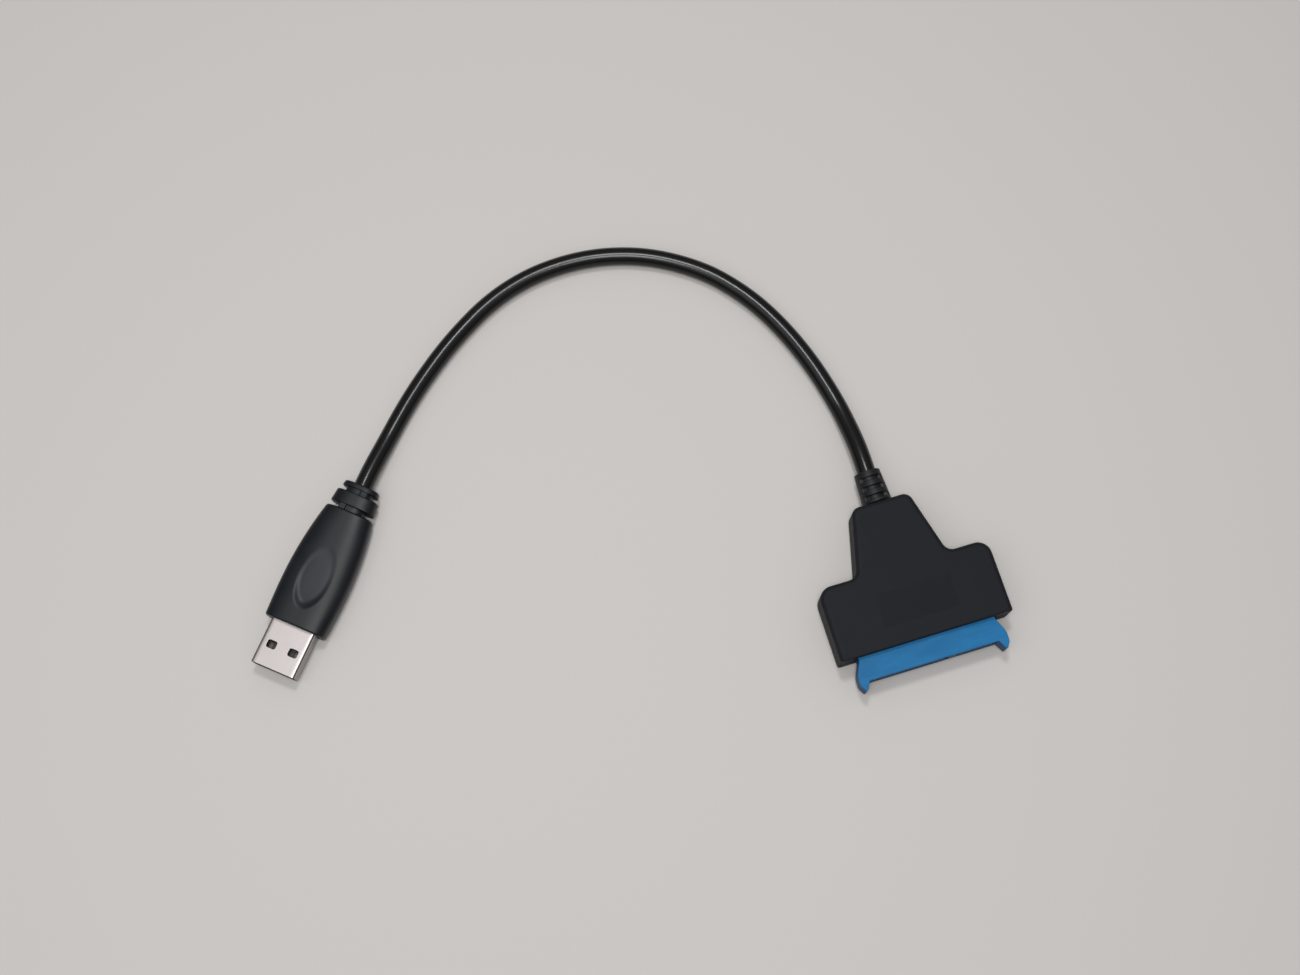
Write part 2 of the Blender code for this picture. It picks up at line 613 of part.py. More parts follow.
def build_housing():
    openings = housing_openings()
    far = 2 * HOUSING_HEIGHT
    lip_outline = inset(housing_corners(), HOUSING_WALL - LIP_THICKNESS)

    bottom = add("housing_bottom", housing_blank("housing_bottom"), HOUSING_PLASTIC, HEAD, 35)
    cut(bottom, half_space("above_seam", MID_HEIGHT - SEAM / 2, far))
    lip = slab("lip", rounded(lip_outline), MID_HEIGHT - LIP_HEIGHT - SEAM, MID_HEIGHT + LIP_HEIGHT)
    join(bottom, tool("lip", lip, HEAD))

    top = add("housing_top", housing_blank("housing_top"), HOUSING_PLASTIC, HEAD, 35)
    cut(top, half_space("below_seam", -far, MID_HEIGHT + SEAM / 2))
    rebate_outline = inset(housing_corners(), HOUSING_WALL - LIP_THICKNESS - FINE_CLEAR)
    rebate = slab("rebate", rounded(rebate_outline), MID_HEIGHT - LIP_HEIGHT,
                  MID_HEIGHT + LIP_HEIGHT + FINE_CLEAR)
    cut(top, tool("rebate", rebate, HEAD))

    for opening in openings:
        cut(bottom, opening)
        cut(top, opening)

    sides = (-1, 1)
    rear_y = BOARD_REAR - POST_RADIUS - CLEAR
    spots = [(side * PEG_X, PEG_Y) for side in sides]
    spots += [(side * BOARD_NECK_WIDTH / 3, rear_y) for side in sides]
    posts = [(x, y, FLOOR_TOP - BITE, BOARD_BOTTOM - CLEAR, POST_RADIUS) for x, y in spots]
    join(bottom, tool("board_posts", cylinders("board_posts", posts, 16), HEAD))
    pegs = [(side * PEG_X, PEG_Y, BOARD_BOTTOM - CLEAR - BITE, BOARD_TOP + CLEAR, PEG_RADIUS)
            for side in sides]
    join(bottom, tool("board_pegs", cylinders("board_pegs", pegs, 12), HEAD))

    stops = []
    for side in sides:
        x = side * (BOOT_FLANGE_RADIUS - STOP_WIDTH / 3)
        y = BOOT_FLANGE_FRONT - CLEAR - STOP_DEPTH / 2
        stops.append(centred(x, y, FLOOR_TOP - BITE, STOP_WIDTH, STOP_DEPTH, CEILING - FLOOR_TOP - CLEAR))
    join(bottom, tool("boot_stops", boxes("boot_stops", stops), HEAD))

    base = BOARD_TOP + CLEAR
    presses = []
    for side in sides:
        x = side * (BOARD_WING_WIDTH / 2 - PRESS_SIZE)
        for offset in PRESS_OFFSETS:
            presses.append(centred(x, PEG_Y + offset, base, PRESS_SIZE, PRESS_SIZE, CEILING + BITE - base))
    join(top, tool("board_presses", boxes("board_presses", presses), HEAD))


# Drive socket

def slot_spans():
    """Left and right ends of the power slot and of the signal slot."""
    total = POWER_SLOT_WIDTH + SLOT_GAP + SIGNAL_SLOT_WIDTH
    power = (-total / 2, -total / 2 + POWER_SLOT_WIDTH)
    signal = (total / 2 - SIGNAL_SLOT_WIDTH, total / 2)
    return power, signal


def contact_places():
    """Names and sideways places of all the drive contacts."""
    places = []
    counts = (POWER_CONTACTS, SIGNAL_CONTACTS)
    for family, count, (left, right) in zip(("power", "signal"), counts, slot_spans()):
        middle = (left + right - SLOT_LEG_WIDTH / 2) / 2
        for number in range(count):
            x = middle + (number - (count - 1) / 2) * CONTACT_PITCH
            places.append(("%s_contact_%02d" % (family, number + 1), x))
    return places


def contact_path():
    """Side view of a drive contact: soldered tail, straight run, sprung bump and dipped tip."""
    crest = SLOT_FLOOR + CONTACT_BUMP - CONTACT_THICKNESS / 2
    tip = CONTACT_SETBACK - SOCKET_REACH
    near, middle, far = CONTACT_STEPS
    return [
        (FLANGE_REAR + CONTACT_TAIL, CONTACT_LEVEL),
        (SLOT_END - CONTACT_RAMP, CONTACT_LEVEL),
        (tip + far, crest - CONTACT_BEND),
        (tip + middle, crest),
        (tip + near, crest - CONTACT_BEND),
        (tip, CONTACT_LEVEL + CONTACT_TIP_RISE)]


def socket_plan():
    """Plan of the socket with its two guide ears."""
    body = SOCKET_WIDTH / 2
    ear = EAR_SPAN / 2
    flare_end = EAR_FLARE_START + EAR_FLARE_LENGTH
    half = [
        (EAR_INNER / 2, -SOCKET_REACH, 0.0),
        (EAR_INNER / 2 + EAR_TIP_WIDTH, -SOCKET_TIP, EAR_TIP_ROUND),
        (ear, -SOCKET_REACH - EAR_SHOULDER, EAR_SHOULDER_ROUND),
        (ear, -flare_end, EAR_FLARE_ROUND),
        (body, -EAR_FLARE_START, SOCKET_CORNER),
        (body, FLANGE_REAR, 0.0)]
    return mirrored(half)


def build_socket():
    low = MID_HEIGHT - SOCKET_HEIGHT / 2
    high = MID_HEIGHT + SOCKET_HEIGHT / 2
    block = slab("socket_body", rounded(socket_plan()), low, high)
    body = add("socket_body", block, SOCKET_PLASTIC, HEAD, 35)
    flange = [((-SOCKET_FLANGE_WIDTH / 2, FLANGE_FRONT, FLOOR_TOP + CLEAR),
               (SOCKET_FLANGE_WIDTH / 2, FLANGE_REAR, CEILING - CLEAR))]
    join(body, tool("socket_flange", boxes("socket_flange", flange), HEAD))
    for name, (left, right) in zip(("power_slot", "signal_slot"), slot_spans()):
        shape = [
            (left, SLOT_FLOOR), (right, SLOT_FLOOR), (right, SLOT_FLOOR + SLOT_HEIGHT + SLOT_LEG_HEIGHT),
            (right - SLOT_LEG_WIDTH, SLOT_FLOOR + SLOT_HEIGHT + SLOT_LEG_HEIGHT),
            (right - SLOT_LEG_WIDTH, SLOT_FLOOR + SLOT_HEIGHT), (left, SLOT_FLOOR + SLOT_HEIGHT)]
        cutter = tool(name, slab(name, shape, -SLOT_END, SOCKET_REACH + OVERCUT), HEAD)
        cutter.rotation_euler.x = math.pi / 2
        cut(body, cutter)
    path = contact_path()
    for name, x in contact_places():
        cut(body, strip_channel(name, path, CONTACT_WIDTH, CONTACT_THICKNESS, HEAD, x, OVERCUT, FINE_CLEAR))
        strip(name, path, CONTACT_WIDTH, CONTACT_THICKNESS, HEAD, x)


# Boot

def build_boot():
    """A turned profile with a captured flange, and rows of slots above and below the cable."""
    start = BOOT_FLANGE_FRONT
    base = HOUSING_DEPTH + CLEAR
    row = (BOOT_LENGTH - BOOT_PLAIN_END) / BOOT_ROWS
    profile = [(0, start), (BOOT_FLANGE_RADIUS, start), (BOOT_FLANGE_RADIUS, BOOT_FLANGE_REAR),
               (BOOT_NECK_RADIUS, BOOT_FLANGE_REAR), (BOOT_NECK_RADIUS, base), (BOOT_BASE_RADIUS, base),
               (BOOT_END_RADIUS, BOOT_END), (0, BOOT_END)]
    bm = bmesh.new()
    points = [bm.verts.new((radius, 0, along)) for radius, along in reversed(profile)]
    for first, second in zip(points, points[1:]):
        bm.edges.new((first, second))
    mesh = bpy.data.meshes.new("boot")
    bm.to_mesh(mesh)
    bm.free()
    boot = add("boot", mesh, HOUSING_PLASTIC, HEAD)
    boot.rotation_euler.x = -math.pi / 2
    boot.location.z = MID_HEIGHT
    screw = boot.modifiers.new("turned", "SCREW")
    screw.axis = "Z"
    screw.angle = 2 * math.pi
    screw.steps = BOOT_SIDES
    screw.render_steps = BOOT_SIDES
    screw.use_merge_vertices = True
    screw.merge_threshold = WELD
    trim = FLANGE_HEIGHT / 2
    flats = [((-BOOT_BASE_RADIUS * 2, start - OVERCUT, MID_HEIGHT + trim),
              (BOOT_BASE_RADIUS * 2, BOOT_FLANGE_REAR + CLEAR / 2, HOUSING_HEIGHT)),
             ((-BOOT_BASE_RADIUS * 2, start - OVERCUT, 0),
              (BOOT_BASE_RADIUS * 2, BOOT_FLANGE_REAR + CLEAR / 2, MID_HEIGHT - trim))]
    cut(boot, tool("flange_flats", boxes("flange_flats", flats), HEAD))
    for number in range(BOOT_ROWS):
        y = base + BOOT_FIRST_ROW + row * number + BOOT_SLOT / 2
        disc = axle("boot_groove", y, BOOT_BASE_RADIUS + OVERCUT, BOOT_SLOT)
        groove = tool("boot_groove_%d" % number, disc, HEAD)
        core = axle("boot_core", y, BOOT_CORE_RADIUS, BOOT_SLOT * 2)
        cut(groove, tool("boot_core_%d" % number, core, HEAD))
        reach = BOOT_BASE_RADIUS * 2
        half = BOOT_BRIDGE / 2
        bridge = [((-reach, y - BOOT_SLOT, MID_HEIGHT - half), (reach, y + BOOT_SLOT, MID_HEIGHT + half))]
        cut(groove, tool("boot_bridge_%d" % number, boxes("boot_bridge", bridge), HEAD))
        cut(boot, groove)


# Circuit board and what is soldered to it

def build_board():
    wing = BOARD_WING_WIDTH / 2
    neck = BOARD_NECK_WIDTH / 2
    half = [(wing, BOARD_FRONT, BOARD_CORNER), (wing, BOARD_SHOULDER, BOARD_FILLET),
            (neck, BOARD_SHOULDER, BOARD_FILLET), (neck, BOARD_REAR, BOARD_NECK_CORNER)]
    points = rounded(mirrored(half), math.radians(30))
    sheet = slab("circuit_board", points, BOARD_BOTTOM, BOARD_TOP)
    board = add("circuit_board", sheet, BOARD_LAMINATE, HEAD)
    holes = [(side * PEG_X, PEG_Y, BOARD_BOTTOM - OVERCUT, BOARD_TOP + OVERCUT, PEG_RADIUS + CLEAR)
             for side in (-1, 1)]
    cut(board, tool("peg_holes", cylinders("peg_holes", holes, 16), HEAD))


def leaded_chip(name, x, y, size, legs, tab_width=0.0):
    """A moulded chip whose legs come out of both long sides and touch down on the board."""
    length, depth, height = size
    count, leg_width, pitch = legs
    mesh = boxes(name, [centred(x, y, PART_BASE + CHIP_LIFT, length, depth, height)])
    soften(mesh, CHIP_EDGE, 1, lambda edge: all(vertex.co.z > PART_BASE + height for vertex in edge.verts))
    chip = add(name, mesh, CHIP_EPOXY, HEAD)
    out = depth / 2 + LEG_REACH / 2 - BITE / 2
    row = [(number - (count - 1) / 2) * pitch for number in range(count)]
    legs_here = [(offset, -out, leg_width) for offset in row]
    legs_here += [(0.0, out, tab_width)] if tab_width else [(offset, out, leg_width) for offset in row]
    spans = [centred(x + offset, y + away, PART_BASE, width, LEG_REACH + BITE, height / 2)
             for offset, away, width in legs_here]
    join(chip, tool(name + "_legs", boxes(name + "_legs", spans), HEAD))


def capacitor(name, x, y, size):
    """A ceramic block between two metal end caps."""
    length, depth, height = size
    step = CAPACITOR_STEP
    block = centred(x, y, PART_BASE + step, length - 2 * step, depth - 2 * step, height - 2 * step)
    part = add(name, boxes(name, [block]), CAPACITOR_CERAMIC, HEAD)
    reach = (length - CAPACITOR_CAP) / 2
    ends = [centred(x + side * reach, y, PART_BASE, CAPACITOR_CAP, depth, height) for side in (-1, 1)]
    join(part, tool(name + "_ends", boxes(name + "_ends", ends), HEAD))


def can(name, y, size, finish):
    """A low block with rounded corners on the neck's middle line."""
    length, depth, height = size
    half = [(length / 2, y - depth / 2, CAN_CORNER), (length / 2, y + depth / 2, CAN_CORNER)]
    points = rounded(mirrored(half), math.radians(45))
    add(name, slab(name, points, PART_BASE, PART_BASE + height), finish, HEAD)


def build_bridge_chip(y):
    """A flat square chip with one corner cut off as its mark."""
    length, depth, height = BRIDGE_CHIP
    left, right = -length / 2, length / 2
    low, high = y - depth / 2, y + depth / 2
    outline = [(left, low), (right, low), (right, high), (left + BRIDGE_CHIP_CORNER, high),
               (left, high - BRIDGE_CHIP_CORNER)]
    add("bridge_chip", slab("bridge_chip", outline, PART_BASE, PART_BASE + height), CHIP_EPOXY, HEAD)


def middle_row(start, end):
    """Places of the parts on the board's middle line, evenly apart from the contacts to the wires."""
    depths = [size[1] for size in (BRIDGE_CHIP, CRYSTAL, INDUCTOR)]
    gap = (end - start - sum(depths)) / (len(depths) + 1)
    places = []
    for depth in depths:
        places.append(start + gap + depth / 2)
        start += gap + depth
    return places


def build_components():
    front = FLANGE_REAR + CONTACT_TAIL
    chip_y, crystal_y, inductor_y = middle_row(front, BOARD_REAR - WIRE_LANDING)
    build_bridge_chip(chip_y)
    leaded_chip("memory_chip", MEMORY_PLACE, chip_y, MEMORY_CHIP, MEMORY_LEGS)
    leaded_chip("voltage_regulator", REGULATOR_PLACE, chip_y, REGULATOR, REGULATOR_LEGS, REGULATOR_TAB)
    can("crystal", crystal_y, CRYSTAL, CAN_STEEL)
    can("power_inductor", inductor_y, INDUCTOR, CHIP_EPOXY)
    x, offset = CAPACITOR_PLACE
    for number in range(2):
        capacitor("capacitor_%d" % (number + 1), x, front + offset + number * CAPACITOR_ROW, CAPACITOR)
        side = 1 - 2 * number
        capacitor("capacitor_%d" % (number + 3), side * SMALL_CAPACITOR_PLACE, crystal_y, SMALL_CAPACITOR)


def build_wires():
    """Eight wires leave the boot in a ring and land in a row at the back of the board."""
    colours = (("red", (0.5, 0.02, 0.02)), ("white", (0.7, 0.7, 0.68)), ("green", (0.02, 0.3, 0.06)),
               ("black", (0.02, 0.02, 0.02)), ("blue", (0.02, 0.08, 0.45)), ("yellow", (0.65, 0.5, 0.04)),
               ("orange", (0.7, 0.2, 0.02)), ("purple", (0.25, 0.05, 0.35)))
    start = BOOT_FLANGE_FRONT - CLEAR
    landing = BOARD_REAR - WIRE_LANDING
    level = BOARD_TOP + FINE_CLEAR + WIRE_RADIUS
    ring = []
    for number in range(len(colours)):
        angle = 2 * math.pi * (number + 0.5) / len(colours)
        ring.append((WIRE_RING * math.cos(angle), MID_HEIGHT + WIRE_RING * math.sin(angle)))
    ring.sort(key=lambda place: (round(place[0] / MM, 2), place[1] * math.copysign(1, place[0])))
    for number, ((colour, shade), (x, z)) in enumerate(zip(colours, ring)):
        landing_x = (number - (len(colours) - 1) / 2) * WIRE_PITCH
        route = []
        for share in np.linspace(0, 1, WIRE_POINTS):
            spread = eased(min(1.0, share * WIRE_SPREAD_RATE))
            along = start + (landing - start) * share
            route.append((x + (landing_x - x) * spread, along, z + (level - z) * eased(share)))
        finish = material("wire_" + colour, shade, 0.45)
        tube("wire_" + colour, route, WIRE_RADIUS, finish, HEAD, 1)


# Cable

def cable_route():
    """The route on the table, lifted at both ends to meet the boot and the plug."""
    start = Vector((0, BOOT_END + CLEAR - HEAD_MIDDLE))
    heading = Matrix.Rotation(PLUG_TURN, 2) @ Vector((0, 1))
    finish = Vector(PLUG_PLACE) - heading * (RELIEF_END + CLEAR)
    flat = [start] + [Vector(place) * MM for place in CABLE_ROUTE_MM] + [finish]
    points = smooth_route(flat, CABLE_POINTS)
    travelled = np.r_[0, np.cumsum(np.linalg.norm(np.diff(points, axis=0), axis=1))]
    rest = CABLE_RADIUS + CABLE_LIFT
    drop = 1 - np.clip(travelled / CABLE_DROP, 0, 1)
    rise = 1 - np.clip((travelled[-1] - travelled) / CABLE_RISE, 0, 1)
    height = rest + (MID_HEIGHT - rest) * eased(drop) + (PLUG_AXIS - rest) * eased(rise)
    return np.column_stack([points, height])


def build_cable():
    tube("cable_jacket", cable_route(), CABLE_RADIUS, CABLE_VINYL, None, 3)


# Plug

def build_shell():
    """Sheet steel folded round to a seam underneath, with four latch windows."""
    half_width = (SHELL_WIDTH - SHELL_WALL) / 2
    half_height = (SHELL_HEIGHT - SHELL_WALL) / 2
    radius = SHELL_CORNER - SHELL_WALL / 2
    corners = [(SHELL_SEAM / 2, -half_height, 0), (half_width, -half_height, radius),
               (half_width, half_height, radius)]
    outline = rounded(mirrored(corners), math.radians(30))
    bm = bmesh.new()
    rows = []
    for y in (0.0, -(SHELL_REACH + SHELL_HELD)):
        rows.append([bm.verts.new((x, y, PLUG_AXIS + z)) for x, z in outline])
    for index in range(len(outline) - 1):
        bm.faces.new((rows[0][index], rows[0][index + 1], rows[1][index + 1], rows[1][index]))
    shell = add("usb_shell", finish_mesh("usb_shell", bm), SHELL_STEEL, PLUG, 40)
    thicken(shell, SHELL_WALL)
    low = PLUG_AXIS - SHELL_HEIGHT
    through = (WINDOW_WIDTH, WINDOW_LENGTH, 2 * SHELL_HEIGHT)
    windows = [centred(side * WINDOW_SPREAD, -WINDOW_SETBACK, low, *through) for side in (-1, 1)]
    cut(shell, tool("shell_windows", boxes("shell_windows", windows), PLUG))


def pad_path():
    """A flat contact: exposed at the front, then it dives and runs back low in the tongue."""
    top = TONGUE_TOP - PAD_THICKNESS / 2
    low = TONGUE_TOP - TONGUE_HEIGHT / 2 - PAD_DROP
    front = -TONGUE_SETBACK - PAD_SETBACK
    back = front - PAD_LENGTH
    return [(front, top), (back, top), (back - PAD_DIVE, low),
            (-TONGUE_SETBACK - TONGUE_LENGTH - PAD_TAIL, low)]


def spring_path():
    """A sprung contact behind the flat ones: it rises to a crest and drops into its groove."""
    level = TONGUE_TOP - SPRING_DEPTH
    front = -SPRING_SETBACK
    near, middle, foot = SPRING_STEPS
    return [(front, level + SPRING_TIP_RISE), (front - near, level + SPRING_RISE),
            (front - middle, level + SPRING_RISE), (front - foot, level),
            (-TONGUE_SETBACK - TONGUE_LENGTH - SPRING_TAIL, level)]


def build_tongue():
    half = SHELL_WIDTH / 2 - SHELL_WALL - FINE_CLEAR
    low = SHELL_BOTTOM + SHELL_WALL + FINE_CLEAR
    front = -TONGUE_SETBACK
    back = front - TONGUE_LENGTH
    top = SHELL_BOTTOM + SHELL_HEIGHT - SHELL_WALL - FINE_CLEAR
    side_view = [
        (front, low), (front, TONGUE_TOP - TONGUE_CHAMFER / 2), (front - TONGUE_CHAMFER, TONGUE_TOP),
        (back + TONGUE_BLOCK, TONGUE_TOP), (back + TONGUE_BLOCK, top), (back, top), (back, low)]
    mesh = slab("usb_tongue", side_view, -half, half)
    side_to_plan = Matrix(((0, 0, 1, 0), (1, 0, 0, 0), (0, 1, 0, 0), (0, 0, 0, 1)))
    mesh.transform(side_to_plan)
    corner = SHELL_CORNER - SHELL_WALL

    def in_shell_corner(edge):
        first, second = (vertex.co for vertex in edge.verts)
        along = abs(first.x - second.x) < WELD and abs(first.z - second.z) < WELD
        return along and (first.z < low + WELD or first.z > top - WELD)

    soften(mesh, corner, 2, in_shell_corner)
    tongue = add("usb_tongue", mesh, TONGUE_PLASTIC, PLUG)
    for family, places, path, width in (("usb_pad", PAD_PLACES, pad_path(), PAD_WIDTH),
                                        ("usb_spring", SPRING_PLACES, spring_path(), SPRING_WIDTH)):
        for number, x in enumerate(places):
            name = "%s_%d" % (family, number + 1)
            cut(tongue, strip_channel(name, path, width, PAD_THICKNESS, PLUG, x, FINE_CLEAR, OVERCUT))
            strip(name, path, width, PAD_THICKNESS, PLUG, x)


def grip_section(half_width, thickness, power):
    """A closed superellipse: squarer as its power grows."""
    points = []
    for number in range(GRIP_SIDES):
        angle = 2 * math.pi * (number + 0.5) / GRIP_SIDES
        cosine, sine = math.cos(angle), math.sin(angle)
        x = half_width * math.copysign(abs(cosine) ** (2 / power), cosine)
        z = thickness / 2 * math.copysign(abs(sine) ** (2 / power), sine)
        points.append((x, PLUG_AXIS + z))
    return points


def loft(name, sections):
    """Joins unlike closed sections, given as y and a ring of x and z, and closes both ends."""
    bm = bmesh.new()
    rings = [[bm.verts.new((x, y, z)) for x, z in ring] for y, ring in sections]
    for ring, following in zip(rings, rings[1:]):
        for index in range(len(ring)):
            after = (index + 1) % len(ring)
            bm.faces.new((ring[index], ring[after], following[after], following[index]))
    bm.faces.new(rings[0])
    bm.faces.new(list(reversed(rings[-1])))
    return finish_mesh(name, bm)


def grip_width(share):
    """Half width along the grip: it swells gently behind the shell, then narrows to the tail."""
    if share < GRIP_SWELL:
        reach = share / GRIP_SWELL
        return GRIP_FRONT_HALF + (GRIP_WAIST_HALF - GRIP_FRONT_HALF) * math.sin(reach * math.pi / 2)
    reach = (share - GRIP_SWELL) / (1 - GRIP_SWELL)
    return GRIP_TAIL_HALF + (GRIP_WAIST_HALF - GRIP_TAIL_HALF) * (1 - reach ** 2)


def build_grip():
    """The moulded grip and its strain relief are one piece over the shell's held end."""
    sections = []
    square_front, square_tail = GRIP_SQUARENESS
    for number in range(GRIP_STATIONS):
        share = number / (GRIP_STATIONS - 1)
        thickness = GRIP_THICKNESS + (GRIP_TAIL_THICKNESS - GRIP_THICKNESS) * share ** 3
        power = square_front + (square_tail - square_front) * share
        sections.append((-SHELL_REACH - GRIP_LENGTH * share, grip_width(share), thickness, power))
    front, back = sections[0], sections[-1]
    sections[0] = (front[0] - GRIP_EDGE, *front[1:])
    sections[-1] = (back[0] + GRIP_EDGE, *back[1:])
    sections.insert(0, (front[0], front[1] - GRIP_EDGE, front[2] - 2 * GRIP_EDGE, front[3]))
    sections.append((back[0], back[1] - GRIP_EDGE, back[2] - 2 * GRIP_EDGE, back[3]))
    rings = [(y, grip_section(half, thickness, power)) for y, half, thickness, power in sections]
    grip = add("usb_grip", loft("usb_grip", rings), GRIP_VINYL, PLUG, 40)

    core_ring = grip_section(RELIEF_CORE_HALF, RELIEF_CORE_THICKNESS, RELIEF_SQUARENESS)
    core = [(GRIP_EDGE + BITE - GRIP_TAIL, core_ring), (-RELIEF_END, core_ring)]
    join(grip, tool("relief_core", loft("relief_core", core), PLUG))
    y = -GRIP_TAIL
    sizes = zip(RELIEF_LENGTHS, RELIEF_HALF_WIDTHS, RELIEF_THICKNESSES)
    for number, (length, half, thickness) in enumerate(sizes):
        side = -1 if number % 2 else 1
        rise = thickness * RELIEF_TAPER - RELIEF_BRIDGE_DROP
        bridge = centred(side * half / 3, y - RELIEF_GAP / 2, PLUG_AXIS - rise / 2,
                         RELIEF_BRIDGE, RELIEF_GAP + 2 * BITE, rise)
        join(grip, tool("relief_bridge_%d" % number, boxes("relief_bridge", [bridge]), PLUG))
        y -= RELIEF_GAP
        wide = grip_section(half, thickness, RELIEF_SQUARENESS)
        narrow = grip_section(half * RELIEF_TAPER, thickness * RELIEF_TAPER, RELIEF_SQUARENESS)
        ring = loft("relief_ring", [(y, wide), (y - length, narrow)])
        join(grip, tool("relief_ring_%d" % number, ring, PLUG))
        y -= length

    pocket_half = SHELL_WIDTH / 2 + CLEAR
    pocket_rise = SHELL_HEIGHT / 2 + CLEAR
    pocket = [((-pocket_half, -SHELL_REACH - SHELL_HELD - CLEAR, PLUG_AXIS - pocket_rise),
               (pocket_half, -SHELL_REACH + OVERCUT, PLUG_AXIS + pocket_rise))]
    cut(grip, tool("shell_pocket", boxes("shell_pocket", pocket), PLUG))

    bm = bmesh.new()
    bmesh.ops.create_cone(bm, cap_ends=True, segments=40, radius1=0.5, radius2=0.5, depth=1.0,
                          matrix=Matrix.Translation((0, 0, 0.5)))
    stretch = Matrix.Diagonal((RECESS_WIDTH, RECESS_LENGTH, GRIP_THICKNESS, 1))
    bmesh.ops.transform(bm, matrix=stretch, verts=bm.verts)
    recess = tool("thumb_recess", finish_mesh("thumb_recess", bm), PLUG)
    recess.rotation_euler.x = -RECESS_TILT
    recess.location = (0, -SHELL_REACH - RECESS_CENTRE, GRIP_THICKNESS - RECESS_DEPTH / 2)
    cut(grip, recess)


build_housing()
build_socket()
build_boot()
build_board()
build_components()
build_wires()
build_cable()
build_shell()
build_tongue()
build_grip()
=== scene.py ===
"""The finished look of a short lead that joins a serial drive to a computer.

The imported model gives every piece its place. The housing's halves, the boot, the cable, the
plug's grip and its metal shell are made again here as fine surfaces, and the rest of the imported
pieces keep their shape and get a finish. Lengths are in millimetres until a mesh is made.
"""
import math

import bmesh
import bpy
import numpy as np
from mathutils import Matrix, Vector


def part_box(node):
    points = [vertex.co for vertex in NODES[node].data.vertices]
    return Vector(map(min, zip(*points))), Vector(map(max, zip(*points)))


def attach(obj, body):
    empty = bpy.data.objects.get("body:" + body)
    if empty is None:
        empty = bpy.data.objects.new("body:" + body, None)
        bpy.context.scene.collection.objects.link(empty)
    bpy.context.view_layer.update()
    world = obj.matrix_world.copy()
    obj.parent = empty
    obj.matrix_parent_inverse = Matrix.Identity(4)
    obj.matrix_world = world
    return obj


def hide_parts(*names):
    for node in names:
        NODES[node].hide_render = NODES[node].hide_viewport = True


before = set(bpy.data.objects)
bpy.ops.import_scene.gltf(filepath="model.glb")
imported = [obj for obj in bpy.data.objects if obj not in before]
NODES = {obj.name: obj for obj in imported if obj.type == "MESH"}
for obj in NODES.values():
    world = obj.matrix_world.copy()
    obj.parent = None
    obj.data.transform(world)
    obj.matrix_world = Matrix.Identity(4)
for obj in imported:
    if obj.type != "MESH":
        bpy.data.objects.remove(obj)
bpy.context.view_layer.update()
MM = 0.001


# The head: housing, socket and boot. The head's own frame has the housing's front at y = 0

HEAD_SHIFT = -18.3            # y of the housing's front face in the model's frame
WING_WIDTH = 45.4
WING_DEPTH = 19.2
WING_CORNER = 3.6
NECK_BASE_WIDTH = 24.2
NECK_END_WIDTH = 15.2
NECK_LENGTH = 17.3
NECK_CORNER = 2.4
NECK_FILLET = 2.6
HOUSING_HEIGHT = 10.2
HOUSING_EDGE = 1.3
HOUSING_EDGE_STEPS = 14
HOUSING_FRONT_EDGE = 0.4
HOUSING_FRONT_CORNER = 0.5
HOUSING_WALL = 1.5
HOUSING_DEPTH = WING_DEPTH + NECK_LENGTH
SEAM = 0.25
SEAM_EDGE = 0.06
LIP_HEIGHT = 0.9
LIP_INNER = 0.9               # the lip's outer face, in from the housing's
LIP_OUTER = 0.78              # the rebate's face, which the lip fits behind
MID_HEIGHT = HOUSING_HEIGHT / 2
WINDOW_HALF_WIDTH = 18.3
WINDOW_HALF_HEIGHT = 3.2
BOOT_HOLE = 3.0
HOLE_SQUARE = 0.9             # the boot hole's block of left-out cells before it is made round
HOLE_REACH = 1.25             # where the bend round it ends, in hole halves
CLOCK_STEP = 7.5              # degrees between the points round the boot's hole
WINDOW_POINTS = 9             # across the socket's window
RIM_BAND = 0.4                # flat band between an edge's rounding and the cap
GAP = 0.3
FINE = 0.12
SNUG = 0.05
TINY = 0.001
WELD = 0.0002
CORNER_STEPS = 12             # round a corner of an outline
EDGE_STEPS = 4                # round a fine edge

BOOT_START = HOUSING_DEPTH + GAP
BOOT_LENGTH = 8.5
BOOT_END = BOOT_START + BOOT_LENGTH
BOOT_BASE_RADIUS = 3.9
BOOT_END_RADIUS = 3.4
BOOT_CORE_RADIUS = 2.75
BOOT_NECK_RADIUS = 2.7
BOOT_ROWS = 3
BOOT_FIRST_ROW = 0.9
BOOT_PLAIN_END = 1.2
BOOT_SLOT = 1.1
BOOT_BRIDGE = 4.0
BOOT_EDGE = 0.12
BOOT_SLOT_ROWS = 6            # rows of points across a slot
BOOT_MARGIN = 0.45            # plain band beside a slot
BOOT_SIDES = 256
BOOT_FLANGE_RADIUS = 4.6
BOOT_FLANGE_FACE = 1.0        # ring of flat face inside its rim
BOOT_FLANGE_REAR = HOUSING_DEPTH - HOUSING_WALL - GAP
BOOT_FLANGE_FRONT = BOOT_FLANGE_REAR - 1.3
BOOT_FLANGE_RISE = HOUSING_HEIGHT / 2 - HOUSING_WALL - GAP
BORE_CHAMFER = 0.15
BORE_BEYOND = 0.5             # how far a bore runs on past the jacket's end

# The bare place for a label on the housing's top: its sides in x and in y

LABEL_PLACE = ((-9.4, 10.2), (4.9, 13.5))
LABEL_SOFT = 0.35             # half the width of its soft border

# The plug, in its own frame with the shell's front at y = 0

